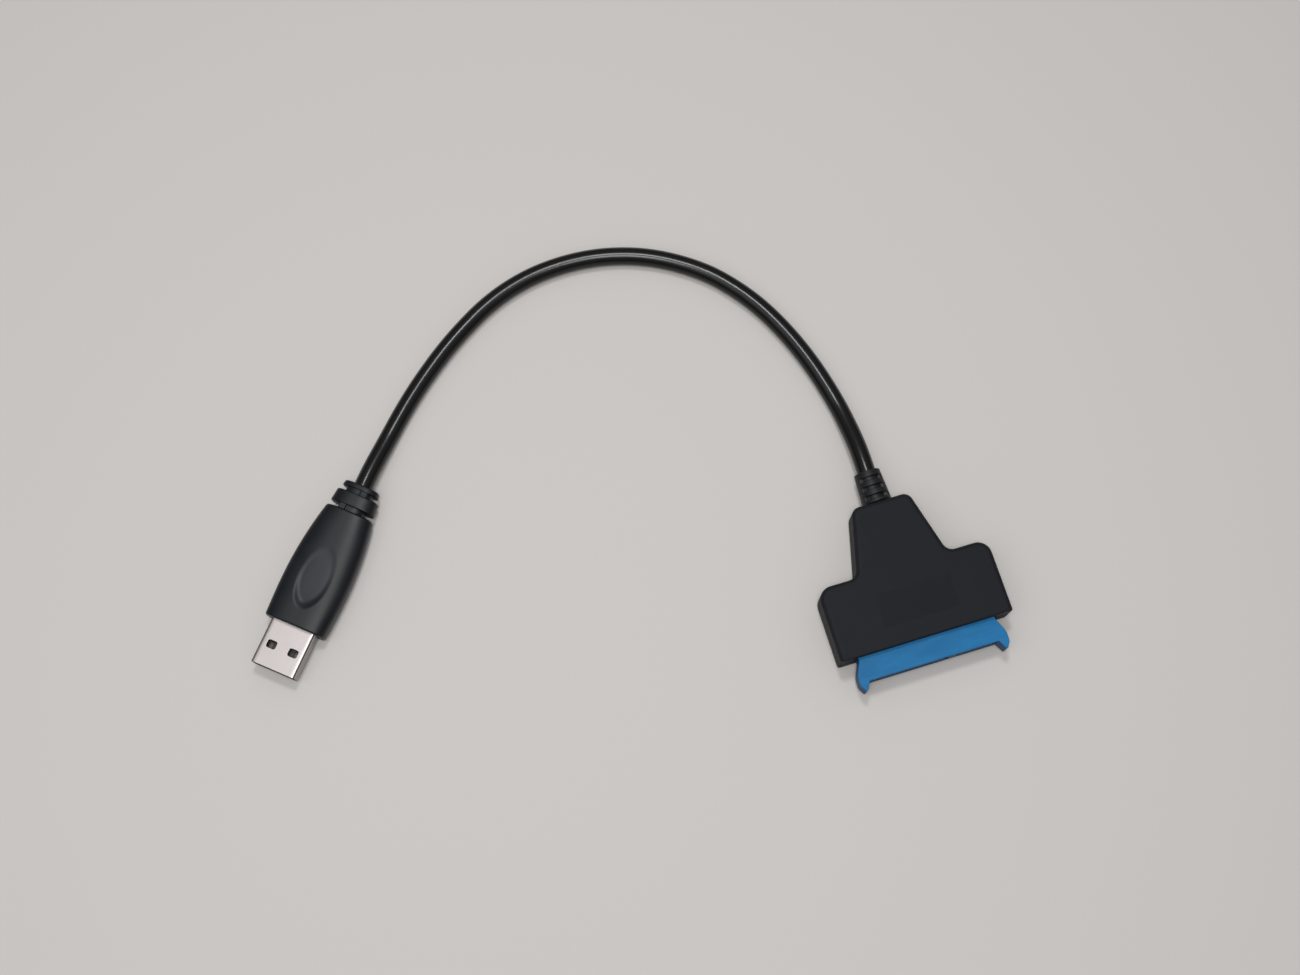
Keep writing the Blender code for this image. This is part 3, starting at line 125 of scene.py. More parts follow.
PLUG_PLACE = (-158.4, 21.9)
PLUG_TURN = math.radians(140.0)
PLUG_AXIS = 4.1
SHELL_WIDTH = 12.0
SHELL_HEIGHT = 4.5
SHELL_WALL = 0.3
SHELL_CORNER = 0.8
SHELL_REACH = 12.0
SHELL_HELD = 6.5
SHELL_SEAM = 0.2
LATCH_WIDTH = 2.5
LATCH_LENGTH = 2.1
LATCH_SPREAD = 2.95
LATCH_SETBACK = 5.7
LATCH_REACH = 1.3             # where the bend round a window ends, in window halves
LATCH_STATIONS = np.array([-LATCH_REACH, -1, -0.75, -0.4, 0, 0.4, 0.75, 1, LATCH_REACH])
LATCH_SQUARENESS = 5
SHELL_CORNER_POINTS = 9
SHELL_FRONT_BAND = 1.5
SHELL_EDGE = 0.05
POCKET_SQUARENESS = 10.0
POCKET_CHAMFER = 0.12
GRIP_LENGTH = 32.2
GRIP_THICKNESS = 8.2
GRIP_TAIL_THICKNESS = 7.0
GRIP_FRONT_HALF = 8.15
GRIP_WAIST_HALF = 8.6
GRIP_TAIL_HALF = 6.4
GRIP_SWELL = 0.36
GRIP_EDGE = 0.5
GRIP_EDGE_STEPS = 8
GRIP_STATIONS = 190
GRIP_SIDES = 256
GRIP_SQUARENESS = (3.4, 2.8)
RECESS_LENGTH = 17.4
RECESS_WIDTH = 8.8
RECESS_CENTRE = -SHELL_REACH - 13.2
RECESS_WALL = (0.70, 1.03)    # where its wall starts and ends, in halves of its ellipse
RECESS_DEPTHS = (0.09, 0.80)  # at its rear and at its front
RELIEF_CORE = (3.6, 2.8)
RELIEF_GAP = 1.3
RELIEF_LENGTHS = (3.5, 1.4)
RELIEF_HALF_WIDTHS = (6.0, 4.95)
RELIEF_THICKNESSES = (7.0, 6.4)
RELIEF_TAPER = 0.94
RELIEF_BRIDGE = 1.8
RELIEF_BRIDGE_RISE = 0.9
RELIEF_BRIDGE_FADE = 0.2      # half the width over which a bridge's sides rise
RELIEF_BRIDGE_LEAST = 1.0     # nothing nearer the plug's middle plane is bridged
RELIEF_EDGE = 0.3
RELIEF_EDGE_STEPS = 5
RELIEF_ROWS = 6               # rows of points along a ring or a gap
RELIEF_CHAMFER = 0.2

# Sizes of the drive socket, in the head's frame

SOCKET_HEIGHT = 5.8
SOCKET_WIDTH = 36.0
SOCKET_REACH = 6.1
SOCKET_BACK = 4.0
SOCKET_EDGE = 0.18
SOCKET_CAP_BAND = 0.1         # flat band inside its rounded edge
SOCKET_BACK_ROUND = 0.25
SOCKET_CORNER_STEPS = 14
FLANGE_HALF = 19.4
FLANGE_FRONT = 1.8
FLANGE_ROUND = 0.3
EAR_SPAN = 39.2
EAR_INNER = 34.0
EAR_REACH = 2.6
EAR_SHOULDER = 0.7
EAR_SHOULDER_ROUND = 1.6
EAR_FLARE_START = 0.6
EAR_FLARE_LENGTH = 3.6
EAR_FLARE_ROUND = 4.0
EAR_ROOT_ROUND = 0.3
EAR_TIP_WIDTH = 1.45
EAR_TIP_ROUND = 0.3
EAR_INNER_ROUND = 0.15
SLOT_HEIGHT = 1.5
SLOT_DEPTH = 5.6
SLOT_FLOOR = MID_HEIGHT - SLOT_HEIGHT / 2
SLOT_LEG_WIDTH = 1.5
SLOT_LEG_TOP = SLOT_FLOOR + SLOT_HEIGHT + 1.3
SLOT_EDGE = 16.75
SLOTS = ((-SLOT_EDGE, 4.03, 15), (6.13, SLOT_EDGE, 7))    # left, right and contacts of each
CONTACT_PITCH = 1.27
CHANNEL_HALF = 0.47
CHANNEL_FLOOR = 3.79

# The cable

CABLE_RADIUS = 2.4
CABLE_REST = CABLE_RADIUS + 0.06
CABLE_DROP = 22.0
CABLE_RISE = 18.0
CABLE_SUNK = 1.8              # how far the jacket runs into the boot and into the plug's relief
SUNK_RINGS = 4
CABLE_RINGS = 420
CABLE_SIDES = 48
ROUTE_STEPS = 24              # points worked out on each span of the route
CABLE_ROUTE = (
    (0.0, 27.3), (0.1, 31.5), (0.1, 35.5), (-0.2, 41.0), (-0.9, 47.4), (-2.7, 56.0),
    (-5.1, 64.2), (-8.2, 72.1), (-12.0, 79.5), (-16.7, 86.3), (-22.2, 92.3), (-28.7, 97.3),
    (-35.8, 101.3), (-43.4, 104.1), (-51.2, 105.7), (-59.1, 106.1), (-66.9, 105.4),
    (-74.5, 103.5), (-81.7, 100.5), (-88.4, 96.6), (-94.8, 92.2), (-100.9, 87.3),
    (-106.8, 82.0), (-112.5, 76.2), (-117.8, 70.3), (-121.6, 65.9), (-124.98, 61.73))

# Camera: a 36 mm wide film behind a 48.5 mm lens, 45 cm above the table and tipped 15 degrees

CAMERA_PLACE = (-88.52, -71.66, 439.50)
CAMERA_AIM = (-54.09, 40.95, 0.0)
CAMERA_RIGHT = (0.9563, -0.2924, 0.0)
CAMERA_LENS = 48.46
SKY = (0.10, 0.42)            # the sky's strength at the horizon and overhead
BACKDROP = 0.5                # its strength where the camera sees it
STAGE_MIDDLE = (-70.0, 40.0, 0.0)


# Materials

FINE_GRAIN = 5200.0           # waves a metre of the finest mould texture
WOVEN_THREADS = 5200.0        # radians a metre of the board's glass
CAPACITOR_END = 0.4           # tinned at each end of a capacitor
CHIP_LEG = 1.0                # seen of a chip's legs, on each side


class Value:
    """A socket's number as a Python value: sums and products of values add Math nodes."""

    def __init__(self, graph, socket):
        self.graph = graph
        self.socket = socket

    def operator(operation, swapped=False):
        """A method that adds a Math node for this value and another value or number."""
        def method(self, other):
            return self.graph.maths(operation, *((other, self) if swapped else (self, other)))
        return method

    __add__ = __radd__ = operator("ADD")
    __sub__, __rsub__ = operator("SUBTRACT"), operator("SUBTRACT", swapped=True)
    __mul__ = __rmul__ = operator("MULTIPLY")
    __truediv__, __pow__ = operator("DIVIDE"), operator("POWER")
    __gt__, __lt__ = operator("GREATER_THAN"), operator("LESS_THAN")


class Graph:
    """The nodes of one material, with a Principled shader at its end."""

    def __init__(self, name, colour, roughness, metallic=0.0, **constants):
        self.material = bpy.data.materials.new(name)
        self.material.use_nodes = True
        self.material.diffuse_color = (*colour, 1.0)
        self.nodes = self.material.node_tree.nodes
        self.links = self.material.node_tree.links
        self.shader = self.nodes["Principled BSDF"]
        self.shader.inputs["Base Color"].default_value = (*colour, 1.0)
        self.shader.inputs["Roughness"].default_value = roughness
        self.shader.inputs["Metallic"].default_value = metallic
        for socket, value in constants.items():
            self.shader.inputs[socket.replace("_", " ")].default_value = value

    def node(self, kind, settings=None, inputs=None, output=0):
        """Adds a node, sets its settings, then fills its inputs with values or links."""
        made = self.nodes.new("ShaderNode" + kind)
        for key, value in (settings or {}).items():
            setattr(made, key, value)
        for key, value in (inputs or {}).items():
            if isinstance(value, Value):
                self.links.new(value.socket, made.inputs[key])
            elif value is not None:
                made.inputs[key].default_value = value
        return Value(self, made.outputs[output])

    def maths(self, operation, first, second=None):
        return self.node("Math", {"operation": operation}, {0: first, 1: second})

    def place(self, kind="Object"):
        """Coordinates on the piece: its own metres, or its own surface map."""
        return self.node("TexCoord", output={"Object": 3, "UV": 2}[kind])

    def stretched(self, coordinates, scale, move=(0.0, 0.0, 0.0), turn=(0.0, 0.0, 0.0)):
        return self.node("Mapping", None, {0: coordinates, 1: move, 2: turn, 3: scale})

    def noise(self, coordinates, scale, detail=3.0, rough=0.5):
        """Cloudy noise from 0 to 1, its scale in waves a metre: one, or three along x, y and z."""
        if isinstance(scale, tuple):
            coordinates, scale = self.stretched(coordinates, scale), 1.0
        inputs = {"Vector": coordinates, "Scale": scale, "Detail": detail, "Roughness": rough}
        return self.node("TexNoise", None, inputs)

    def parts(self, coordinates):
        """The three parts of a vector as values."""
        split = self.node("SeparateXYZ", None, {0: coordinates})
        return [Value(self, socket) for socket in split.socket.node.outputs]

    def between(self, value, low, high):
        """A soft step: 0 below low, 1 above high."""
        settings = {"interpolation_type": "SMOOTHSTEP"}
        return self.node("MapRange", settings, {0: value, 1: low, 2: high, 3: 0.0, 4: 1.0})

    def remap(self, value, low, high):
        """Stretches 0 to 1 over a new range."""
        return value * (high - low) + low

    def blend(self, share, first, second):
        """Mixes two colours."""
        first, second = ((*part, 1.0) if isinstance(part, tuple) else part for part in (first, second))
        return self.node("Mix", {"data_type": "RGBA"}, {0: share, 6: first, 7: second}, output=2)

    def bump(self, height, depth, under=None):
        """Raises the surface by a height times a depth in millimetres, on another bump or none."""
        inputs = {"Height": height, "Distance": depth * MM, "Strength": 1.0, "Normal": under}
        return self.node("Bump", None, inputs)

    def finished(self, colour, roughness, normal, metallic=None):
        """Feeds the shader and returns the material."""
        feeds = {"Base Color": colour, "Roughness": roughness, "Normal": normal, "Metallic": metallic}
        for socket, value in feeds.items():
            if value is not None:
                self.links.new(value.socket, self.shader.inputs[socket])
        return self.material


def moulded(name, colour, roughness, grain=4200.0, depth=0.008, mottle=0.10, **constants):
    """A moulded plastic: faint cloudy shade and gloss, and a fine grain from the mould."""
    graph = Graph(name, colour, roughness, **constants)
    spot = graph.place()
    cloud = graph.noise(spot, 160.0, 3.0)
    fine = graph.noise(spot, grain, 2.0)
    light = tuple(part * (1 + mottle) for part in colour)
    dark = tuple(part * (1 - mottle) for part in colour)
    sheen = graph.remap(cloud, roughness - 0.05, roughness + 0.05) + (fine - 0.5) * 0.06
    shade = graph.blend(graph.between(cloud, 0.3, 0.7), dark, light)
    return graph.finished(shade, sheen, graph.bump(fine, depth))


def housing_plastic():
    """Spark-eroded black plastic. The place for a label on its top is bare, and a shade darker
    and smoother, and the rounded edges are rubbed a little brighter."""
    colour, worn = (0.0072, 0.0085, 0.0122), (0.0130, 0.0142, 0.0185)
    bare = (0.0036, 0.0055, 0.0088)
    graph = Graph("housing_plastic", colour, 0.6, Specular_IOR_Level=0.20)
    spot = graph.place()
    x, y, z = graph.parts(spot)
    (left, right), (near, far) = LABEL_PLACE
    label = None
    for part, low, high in ((x, left, right), (y, near + HEAD_SHIFT, far + HEAD_SHIFT)):
        reach = graph.maths("ABSOLUTE", part - (low + high) / 2 * MM)
        half = (high - low) / 2
        inside = 1 - graph.between(reach, (half - LABEL_SOFT) * MM, (half + LABEL_SOFT) * MM)
        label = inside if label is None else label * inside
    label = label * (z > (HOUSING_HEIGHT - 0.1) * MM)
    edge = graph.node("Attribute", {"attribute_name": "edge"}, output=2)
    cloud = graph.noise(spot, 130.0, 4.0)
    fine = graph.noise(spot, FINE_GRAIN, 3.0, 0.6)
    scuffs = graph.between(graph.noise(spot, (260.0, 900.0, 400.0), 4.0, 0.6), 0.62, 0.75)
    rubbed = edge * graph.between(graph.noise(spot, 420.0, 3.0), 0.35, 0.65)
    shade = graph.blend(graph.between(cloud, 0.3, 0.7) * 0.35, colour, worn)
    shade = graph.blend(rubbed * 0.8, shade, worn)
    shade = graph.blend(label, shade, bare)
    sheen = graph.remap(cloud, 0.58, 0.66) - rubbed * 0.08 - scuffs * 0.06 - label * 0.03
    return graph.finished(shade, sheen, graph.bump(fine, 0.008))


def socket_plastic():
    """Blue glass-filled plastic: satin, with faint flow marks that run across the socket, and
    painted shade on its upright faces, darker below the top face."""
    graph = Graph("socket_plastic", (0.0090, 0.1480, 0.3450), 0.5, Specular_IOR_Level=0.20)
    spot = graph.place()
    flow = graph.noise(spot, (90.0, 320.0, 320.0), 4.0, 0.55)
    fine = graph.noise(spot, FINE_GRAIN, 2.0)
    shade = graph.blend(graph.between(flow, 0.3, 0.72), (0.0065, 0.1480, 0.3550),
                        (0.0140, 0.1860, 0.4400))
    # Painted shade: the faces below the top face are darkened to a deep blue.
    top = MID_HEIGHT + SOCKET_HEIGHT / 2
    upright = 1 - graph.between(graph.parts(spot)[2], (top - 0.9) * MM, (top - 0.05) * MM)
    shade = graph.blend(upright * 0.8, shade, (0.0030, 0.0280, 0.0800))
    sheen = graph.remap(flow, 0.43, 0.57) + (fine - 0.5) * 0.05
    return graph.finished(shade, sheen, graph.bump(fine, 0.006))


def cable_vinyl():
    """Drawn black vinyl: fine lines along the cable, a soft unevenness, and duller handled patches."""
    graph = Graph("cable_vinyl", (0.0022, 0.0022, 0.0026), 0.25, Specular_IOR_Level=0.4)
    surface = graph.place("UV")
    lines = graph.noise(surface, (2600.0, 45.0, 1.0), 3.0, 0.55)
    waves = graph.noise(surface, (90.0, 210.0, 1.0), 2.0)
    handled = graph.noise(surface, (150.0, 60.0, 1.0), 4.0, 0.6)
    shade = graph.blend(graph.between(handled, 0.35, 0.75), (0.0018, 0.0018, 0.0022),
                        (0.0040, 0.0040, 0.0045))
    sheen = graph.remap(handled, 0.20, 0.29) + (lines - 0.5) * 0.10
    return graph.finished(shade, sheen, graph.bump(lines, 0.006, graph.bump(waves, 0.030)))


def plug_place(graph, spot):
    """The place on the plug, in metres from its axis: across it, towards its front, and up."""
    home = Matrix.Rotation(-PLUG_TURN, 3, "Z") @ Vector((*PLUG_PLACE, PLUG_AXIS)) * -MM
    return graph.stretched(spot, (1.0, 1.0, 1.0), tuple(home), (0.0, 0.0, -PLUG_TURN))


def grip_vinyl():
    """Soft black vinyl with a slate tinge, finely matt. The thumb's recess is painted paler, a painted
    sheen, least towards its deep front end, where shade falls."""
    graph = Graph("grip_vinyl", (0.0050, 0.0062, 0.0090), 0.4, Specular_IOR_Level=0.34)
    spot = graph.place()
    across, along, _ = graph.parts(plug_place(graph, spot))
    forward = (along - RECESS_CENTRE * MM) / (RECESS_LENGTH / 2 * MM)
    away = graph.maths("SQRT", (across / (RECESS_WIDTH / 2 * MM)) ** 2.0 + forward * forward)
    # Painted sheen: the recess's colour is lifted paler, less so at its shaded front end.
    thumb_painted_sheen = (1 - graph.between(away, 0.74, 1.0)) * (1 - graph.between(forward, 0.2, 1.0) * 0.7)
    cloud = graph.noise(spot, 190.0, 4.0, 0.55)
    fine = graph.noise(spot, 4600.0, 2.0)
    shade = graph.blend(graph.between(cloud, 0.3, 0.7), (0.0040, 0.0051, 0.0076),
                        (0.0062, 0.0076, 0.0108))
    shade = graph.blend(thumb_painted_sheen * 0.8, shade, (0.0240, 0.0260, 0.0340))
    sheen = graph.remap(cloud, 0.36, 0.44) + (fine - 0.5) * 0.05
    return graph.finished(shade, sheen, graph.bump(fine, 0.004))


def plated(name, colour, roughness, grain, tarnish):
    """Plated sheet metal: fine rolled grain, cloudy gloss, and a tarnish in patches."""
    graph = Graph(name, colour, roughness, 1.0)
    spot = graph.place()
    rolled = graph.noise(spot, grain, 3.0, 0.6)
    cloud = graph.noise(spot, 320.0, 4.0, 0.6)
    shade = graph.blend(graph.between(cloud, 0.45, 0.8) * 0.5, colour, tarnish)
    sheen = graph.remap(rolled, roughness - 0.06, roughness + 0.06) + (cloud - 0.5) * 0.16
    return graph.finished(shade, sheen, graph.bump(rolled, 0.002))


def shell_steel():
    """Bright plated sheet with fine lines along the plug, with a painted reflection of shade on its
    two sides, and painted shade inside and on its cut front edge."""
    bright = (0.54, 0.50, 0.49)
    graph = Graph("shell_steel", bright, 0.30, 1.0)
    spot = graph.place()
    plug = plug_place(graph, spot)
    across, along, rise = graph.parts(plug)
    across, rise = graph.maths("ABSOLUTE", across), graph.maths("ABSOLUTE", rise)
    half_wide, half_high = ((size - SHELL_WALL) / 2 for size in (SHELL_WIDTH, SHELL_HEIGHT))
    inside = (across < half_wide * MM) * (rise < half_high * MM)
    # Painted shade: the inside of the shell and its cut front edge are darkened.
    painted_shade_inside_and_front = graph.maths("MAXIMUM", inside, along > -0.06 * MM)
    # Painted reflection: the two sides are darkened as if they mirrored a shadowed floor.
    side = (across > half_wide * MM) * (1 - graph.between(rise, 1.2 * MM, 1.9 * MM))
    rolled = graph.noise(plug, (5200.0, 260.0, 2000.0), 3.0, 0.6)
    cloud = graph.noise(spot, 320.0, 4.0, 0.6)
    shade = graph.blend(graph.between(cloud, 0.45, 0.8) * 0.5, bright, (0.46, 0.42, 0.41))
    shade = graph.blend(side * 0.8, shade, (0.24, 0.205, 0.195))
    shade = graph.blend(painted_shade_inside_and_front, shade, (0.085, 0.074, 0.070))
    sheen = graph.remap(rolled, 0.27, 0.35) + (cloud - 0.5) * 0.06 + painted_shade_inside_and_front * 0.15
    return graph.finished(shade, sheen, graph.bump(rolled, 0.0015))


def board_laminate():
    """Green solder mask over woven glass: two sets of fine threads, and copper runs under it."""
    graph = Graph("board_laminate", (0.012, 0.085, 0.035), 0.35)
    spot = graph.place()
    x, y, _ = graph.parts(spot)
    across, along = (graph.maths("SINE", part * WOVEN_THREADS) for part in (x, y))
    weave = (across * along) * 0.5 + 0.5
    runs = graph.maths("SINE", graph.noise(spot, (240.0, 70.0, 1.0), 1.0) * 60.0) > 0.45
    shade = graph.blend(weave * 0.4, (0.010, 0.075, 0.030), (0.018, 0.105, 0.046))
    shade = graph.blend(runs * 0.6, shade, (0.030, 0.160, 0.060))
    return graph.finished(shade, graph.remap(weave, 0.30, 0.40), graph.bump(weave + runs * 2.0, 0.01))


def tinned_ends(name, colour, axis, place, reach, roughness=0.55):
    """A body whose ends or legs, past a distance from its middle along one axis, are bright tin."""
    graph = Graph(name, colour, roughness)
    spot = graph.place()
    part = graph.parts(spot)[axis]
    metal = graph.maths("ABSOLUTE", part - place) > reach
    fine = graph.noise(spot, FINE_GRAIN, 2.0)
    body = graph.blend(fine, tuple(level * 0.8 for level in colour), colour)
    shade = graph.blend(metal, body, (0.62, 0.61, 0.58))
    sheen = graph.remap(fine, roughness - 0.05, roughness + 0.05) - metal * 0.25
    return graph.finished(shade, sheen, graph.bump(fine, 0.006), metal)


def node_finishes():
    """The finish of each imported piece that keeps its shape."""
    gold = plated("contact_gold", (0.80, 0.58, 0.24), 0.27, (500.0, 3200.0, 3200.0), (0.62, 0.40, 0.16))
    # Painted shade: the pads and springs seen through the latch windows get a dark colour.
    painted_shade_contact = plated("plug_contact", (0.10, 0.082, 0.066), 0.45, (900.0, 2200.0, 2200.0),
                  (0.070, 0.058, 0.048))
    tin = plated("can_steel", (0.62, 0.62, 0.60), 0.33, (1500.0, 1500.0, 1500.0), (0.496, 0.496, 0.48))
    finishes = {"circuit_board": board_laminate(), "crystal": tin,
                "usb_tongue": moulded("tongue_plastic", (0.014, 0.014, 0.015), 0.42),
                "bridge_chip": moulded("chip_epoxy", (0.016, 0.016, 0.017), 0.58, 6000.0, 0.010),
                "power_inductor": moulded("ferrite", (0.035, 0.033, 0.032), 0.62, 5000.0, 0.014)}
    shades = {"red": (0.42, 0.015, 0.015), "white": (0.62, 0.61, 0.58), "green": (0.015, 0.22, 0.05),
              "black": (0.010, 0.010, 0.011), "blue": (0.015, 0.06, 0.38), "yellow": (0.60, 0.44, 0.03),
              "orange": (0.62, 0.17, 0.015), "purple": (0.20, 0.04, 0.29)}
    for name in NODES:
        low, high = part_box(name)
        middle = [(a + b) / 2 for a, b in zip(low, high)]
        if "contact" in name:
            finishes[name] = gold
        elif name.startswith(("usb_pad", "usb_spring")):
            finishes[name] = painted_shade_contact
        elif name.startswith("wire_"):
            finishes[name] = moulded(name, shades[name[5:]], 0.42, 3000.0, 0.006)
        elif name.startswith("capacitor"):
            reach = (high[0] - low[0]) / 2 - CAPACITOR_END * MM
            finishes[name] = tinned_ends(name, (0.36, 0.25, 0.15), 0, middle[0], reach)
        elif name in ("memory_chip", "voltage_regulator"):
            reach = (high[1] - low[1]) / 2 - CHIP_LEG * MM
            finishes[name] = tinned_ends(name, (0.016, 0.016, 0.017), 1, middle[1], reach)
    return finishes


# Surfaces

def placed(name, data):
    """Adds an object to the scene."""
    made = bpy.data.objects.new(name, data)
    bpy.context.scene.collection.objects.link(made)
    return made


def mesh_piece(name, points, faces, finish, smooth=35.0, coordinates=None, edge=None):
    """Makes a mesh from points in millimetres and faces, at the origin, riding on the model.

    The faces are turned to point outwards. A surface map or a share of edge wear may come with it.
    """
    mesh = bpy.data.meshes.new(name)
    mesh.from_pydata((np.asarray(points) * MM).tolist(), [], faces)
    if edge is not None:
        layer = mesh.attributes.new("edge", "FLOAT", "POINT")
        layer.data.foreach_set("value", np.asarray(edge, np.float32))
    if coordinates is not None:
        layer = mesh.uv_layers.new(name="surface")
        corner_points = np.empty(len(mesh.loops), dtype=np.int32)
        mesh.loops.foreach_get("vertex_index", corner_points)
        layer.data.foreach_set("uv", np.asarray(coordinates, float)[corner_points].ravel())
    bm = bmesh.new()
    bm.from_mesh(mesh)
    bmesh.ops.remove_doubles(bm, verts=bm.verts, dist=WELD * MM)
    bmesh.ops.recalc_face_normals(bm, faces=bm.faces)
    bm.to_mesh(mesh)
    bm.free()
    mesh.shade_smooth()
    mesh.set_sharp_from_angle(angle=math.radians(smooth))
    mesh.materials.append(finish)
    piece = placed(name, mesh)
    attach(piece, "root")
    return piece


def eased(share):
    """Runs from 0 to 1 with a level start and end, three times the square less twice the cube."""
    share = np.clip(share, 0.0, 1.0)
    return share * share * (3 - 2 * share)


def full_turn(count):
    return np.linspace(0, 2 * np.pi, count, endpoint=False)


def travelled_along(points):
    """The distance from the first point of a line to each of its points."""
    return np.r_[0, np.cumsum(np.linalg.norm(np.diff(points, axis=0), axis=1))]


def mirrored(corners):
    """The corners of one half, then those of the other, with x turned round."""
    return corners + [(-x, y, radius) for x, y, radius in reversed(corners)]


def raised(plan, height):
    """Rings of points in x and y, each lifted to its own height."""
    return np.dstack([plan, np.broadcast_to(height[:, None], plan.shape[:2])])


def grid_cells(rows, columns, around=True):
    """Four-sided faces between the points of a grid, as rows by columns by four corners."""
    row = np.arange(rows - 1)[:, None] * columns
    column = np.arange(columns if around else columns - 1)[None, :]
    following = (column + 1) % columns
    corners = [row + column, row + following, row + columns + following, row + columns + column]
    return np.stack(corners, axis=-1)


def closed_faces(rows, columns, kept=None):
    """The faces of a grid that closes round its columns, with a cap on its first and last rows."""
    cells = grid_cells(rows, columns)
    faces = (cells[kept] if kept is not None else cells.reshape(-1, 4)).tolist()
    faces.append(list(range(columns))[::-1])
    faces.append(list(range((rows - 1) * columns, rows * columns)))
    return faces


def outline(corners, insets, sides, steps=CORNER_STEPS):
    """Rings that follow a rounded corner outline, each side moved in by its own distance.

    Each side is a line, moved along its inward normal, and a corner is where two of them meet. Its
    arc's radius shrinks with the inset where the outline turns left and grows where it turns right.
    The corners are x, y and radius, anticlockwise. The insets are rings by sides. The sides that
    lie along x may have points of their own, at the x places given for them.
    """
    corners = np.array(corners, float)
    insets = np.asarray(insets, float)
    place, radius = corners[:, :2], corners[:, 2]
    along = np.roll(place, -1, axis=0) - place
    along /= np.linalg.norm(along, axis=1, keepdims=True)
    inward = np.column_stack([-along[:, 1], along[:, 0]])
    level = (place * inward).sum(1) + insets
    columns = []
    for k in range(len(corners)):
        first, second = inward[k - 1], inward[k]
        cross = first[0] * second[1] - first[1] * second[0]
        bend = math.atan2(cross, float(first @ second))
        turned = math.copysign(1.0, bend)
        near, far = level[:, k - 1, None], level[:, k, None]
        meeting = (near * [second[1], -second[0]] - far * [first[1], -first[0]]) / cross
        held = 0.5 * (insets[:, k - 1] + insets[:, k])
        rounding = np.maximum(radius[k] - turned * held, TINY)[:, None]
        centre = meeting + (first + second) / (1 + float(first @ second)) * turned * rounding
        angle = np.linspace(0, bend, steps + 1)
        spoke = np.column_stack([first[0] * np.cos(angle) - first[1] * np.sin(angle),
                                 first[0] * np.sin(angle) + first[1] * np.cos(angle)])
        columns.append(centre[:, None] - turned * rounding[:, None] * spoke[None])
        if k in sides:
            across = np.broadcast_to(np.asarray(sides[k], float), (len(insets), len(sides[k])))
            deep = np.broadcast_to((level[:, k] * inward[k, 1])[:, None], across.shape)
            columns.append(np.stack([across, deep], axis=-1))
    return np.concatenate(columns, axis=1)


def first_column(side, sides, steps=CORNER_STEPS):
    """The column at which a side's own points start."""
    return (side + 1) * (steps + 1) + sum(len(sides[k]) for k in sides if k < side)


def opened(kept, faces, top, bottom, left, right, columns):
    """Leaves out a block of cells between two rows and lines the hole with flat strips."""
    kept[top:bottom, left:right] = False
    upper, lower = top * columns, bottom * columns
    for column in range(left, right):
        faces.append([upper + column, upper + column + 1, lower + column + 1, lower + column])
    for column in (left, right):
        faces.append([row * columns + column for row in range(top, bottom + 1)])


def rounded_hole(across, upright, half, grown, power, reach):
    """Bends a grid so that a square hole in it becomes rounder: the points on the hole's edge go to
    a superellipse, and the move fades out to nothing at the given reach, in hole halves."""
    u, v = across / half[0], upright / half[1]
    square = np.maximum(np.abs(u), np.abs(v))
    curved = (np.abs(u) ** power + np.abs(v) ** power) ** (1 / power)
    fade = np.clip((reach - square) / (reach - 1), 0, 1)
    factor = 1 + (grown * square / np.maximum(curved, TINY) - 1) * fade
    return across * factor, upright * factor


def rounding_rows(radius, steps):
    """A quarter circle as insets and rises: it starts upright and ends level."""
    angle = np.linspace(0, np.pi / 2, steps + 1)
    return radius * (1 - np.cos(angle)), radius * np.sin(angle)


def rounded_length(length, edge, steps, rows):
    """Places along a length and how far each is drawn in, by a quarter circle at either end."""
    inset, rise = rounding_rows(edge, steps)
    middle = np.linspace(edge, length - edge, rows)[1:-1]
    places = np.r_[edge - rise[::-1], middle, length - edge + rise]
    return list(zip(places, np.r_[inset[::-1], middle * 0, inset]))


def in_head(points):
    return np.asarray(points, float) + [0.0, HEAD_SHIFT, 0.0]


def in_plug(points):
    """Turns points of the plug's own frame to where the plug lies."""
    points = np.asarray(points, float)
    cosine, sine = math.cos(PLUG_TURN), math.sin(PLUG_TURN)
    x = points[..., 0] * cosine - points[..., 1] * sine + PLUG_PLACE[0]
    y = points[..., 0] * sine + points[..., 1] * cosine + PLUG_PLACE[1]
    return np.stack([x, y, points[..., 2]], axis=-1)


# Housing

HOUSING_CORNERS = mirrored([(WING_WIDTH / 2, 0.0, HOUSING_FRONT_CORNER),
                            (WING_WIDTH / 2, WING_DEPTH, WING_CORNER),
                            (NECK_BASE_WIDTH / 2, WING_DEPTH, NECK_FILLET),
                            (NECK_END_WIDTH / 2, HOUSING_DEPTH, NECK_CORNER)])
REAR_SIDE, FRONT_SIDE = 3, 7


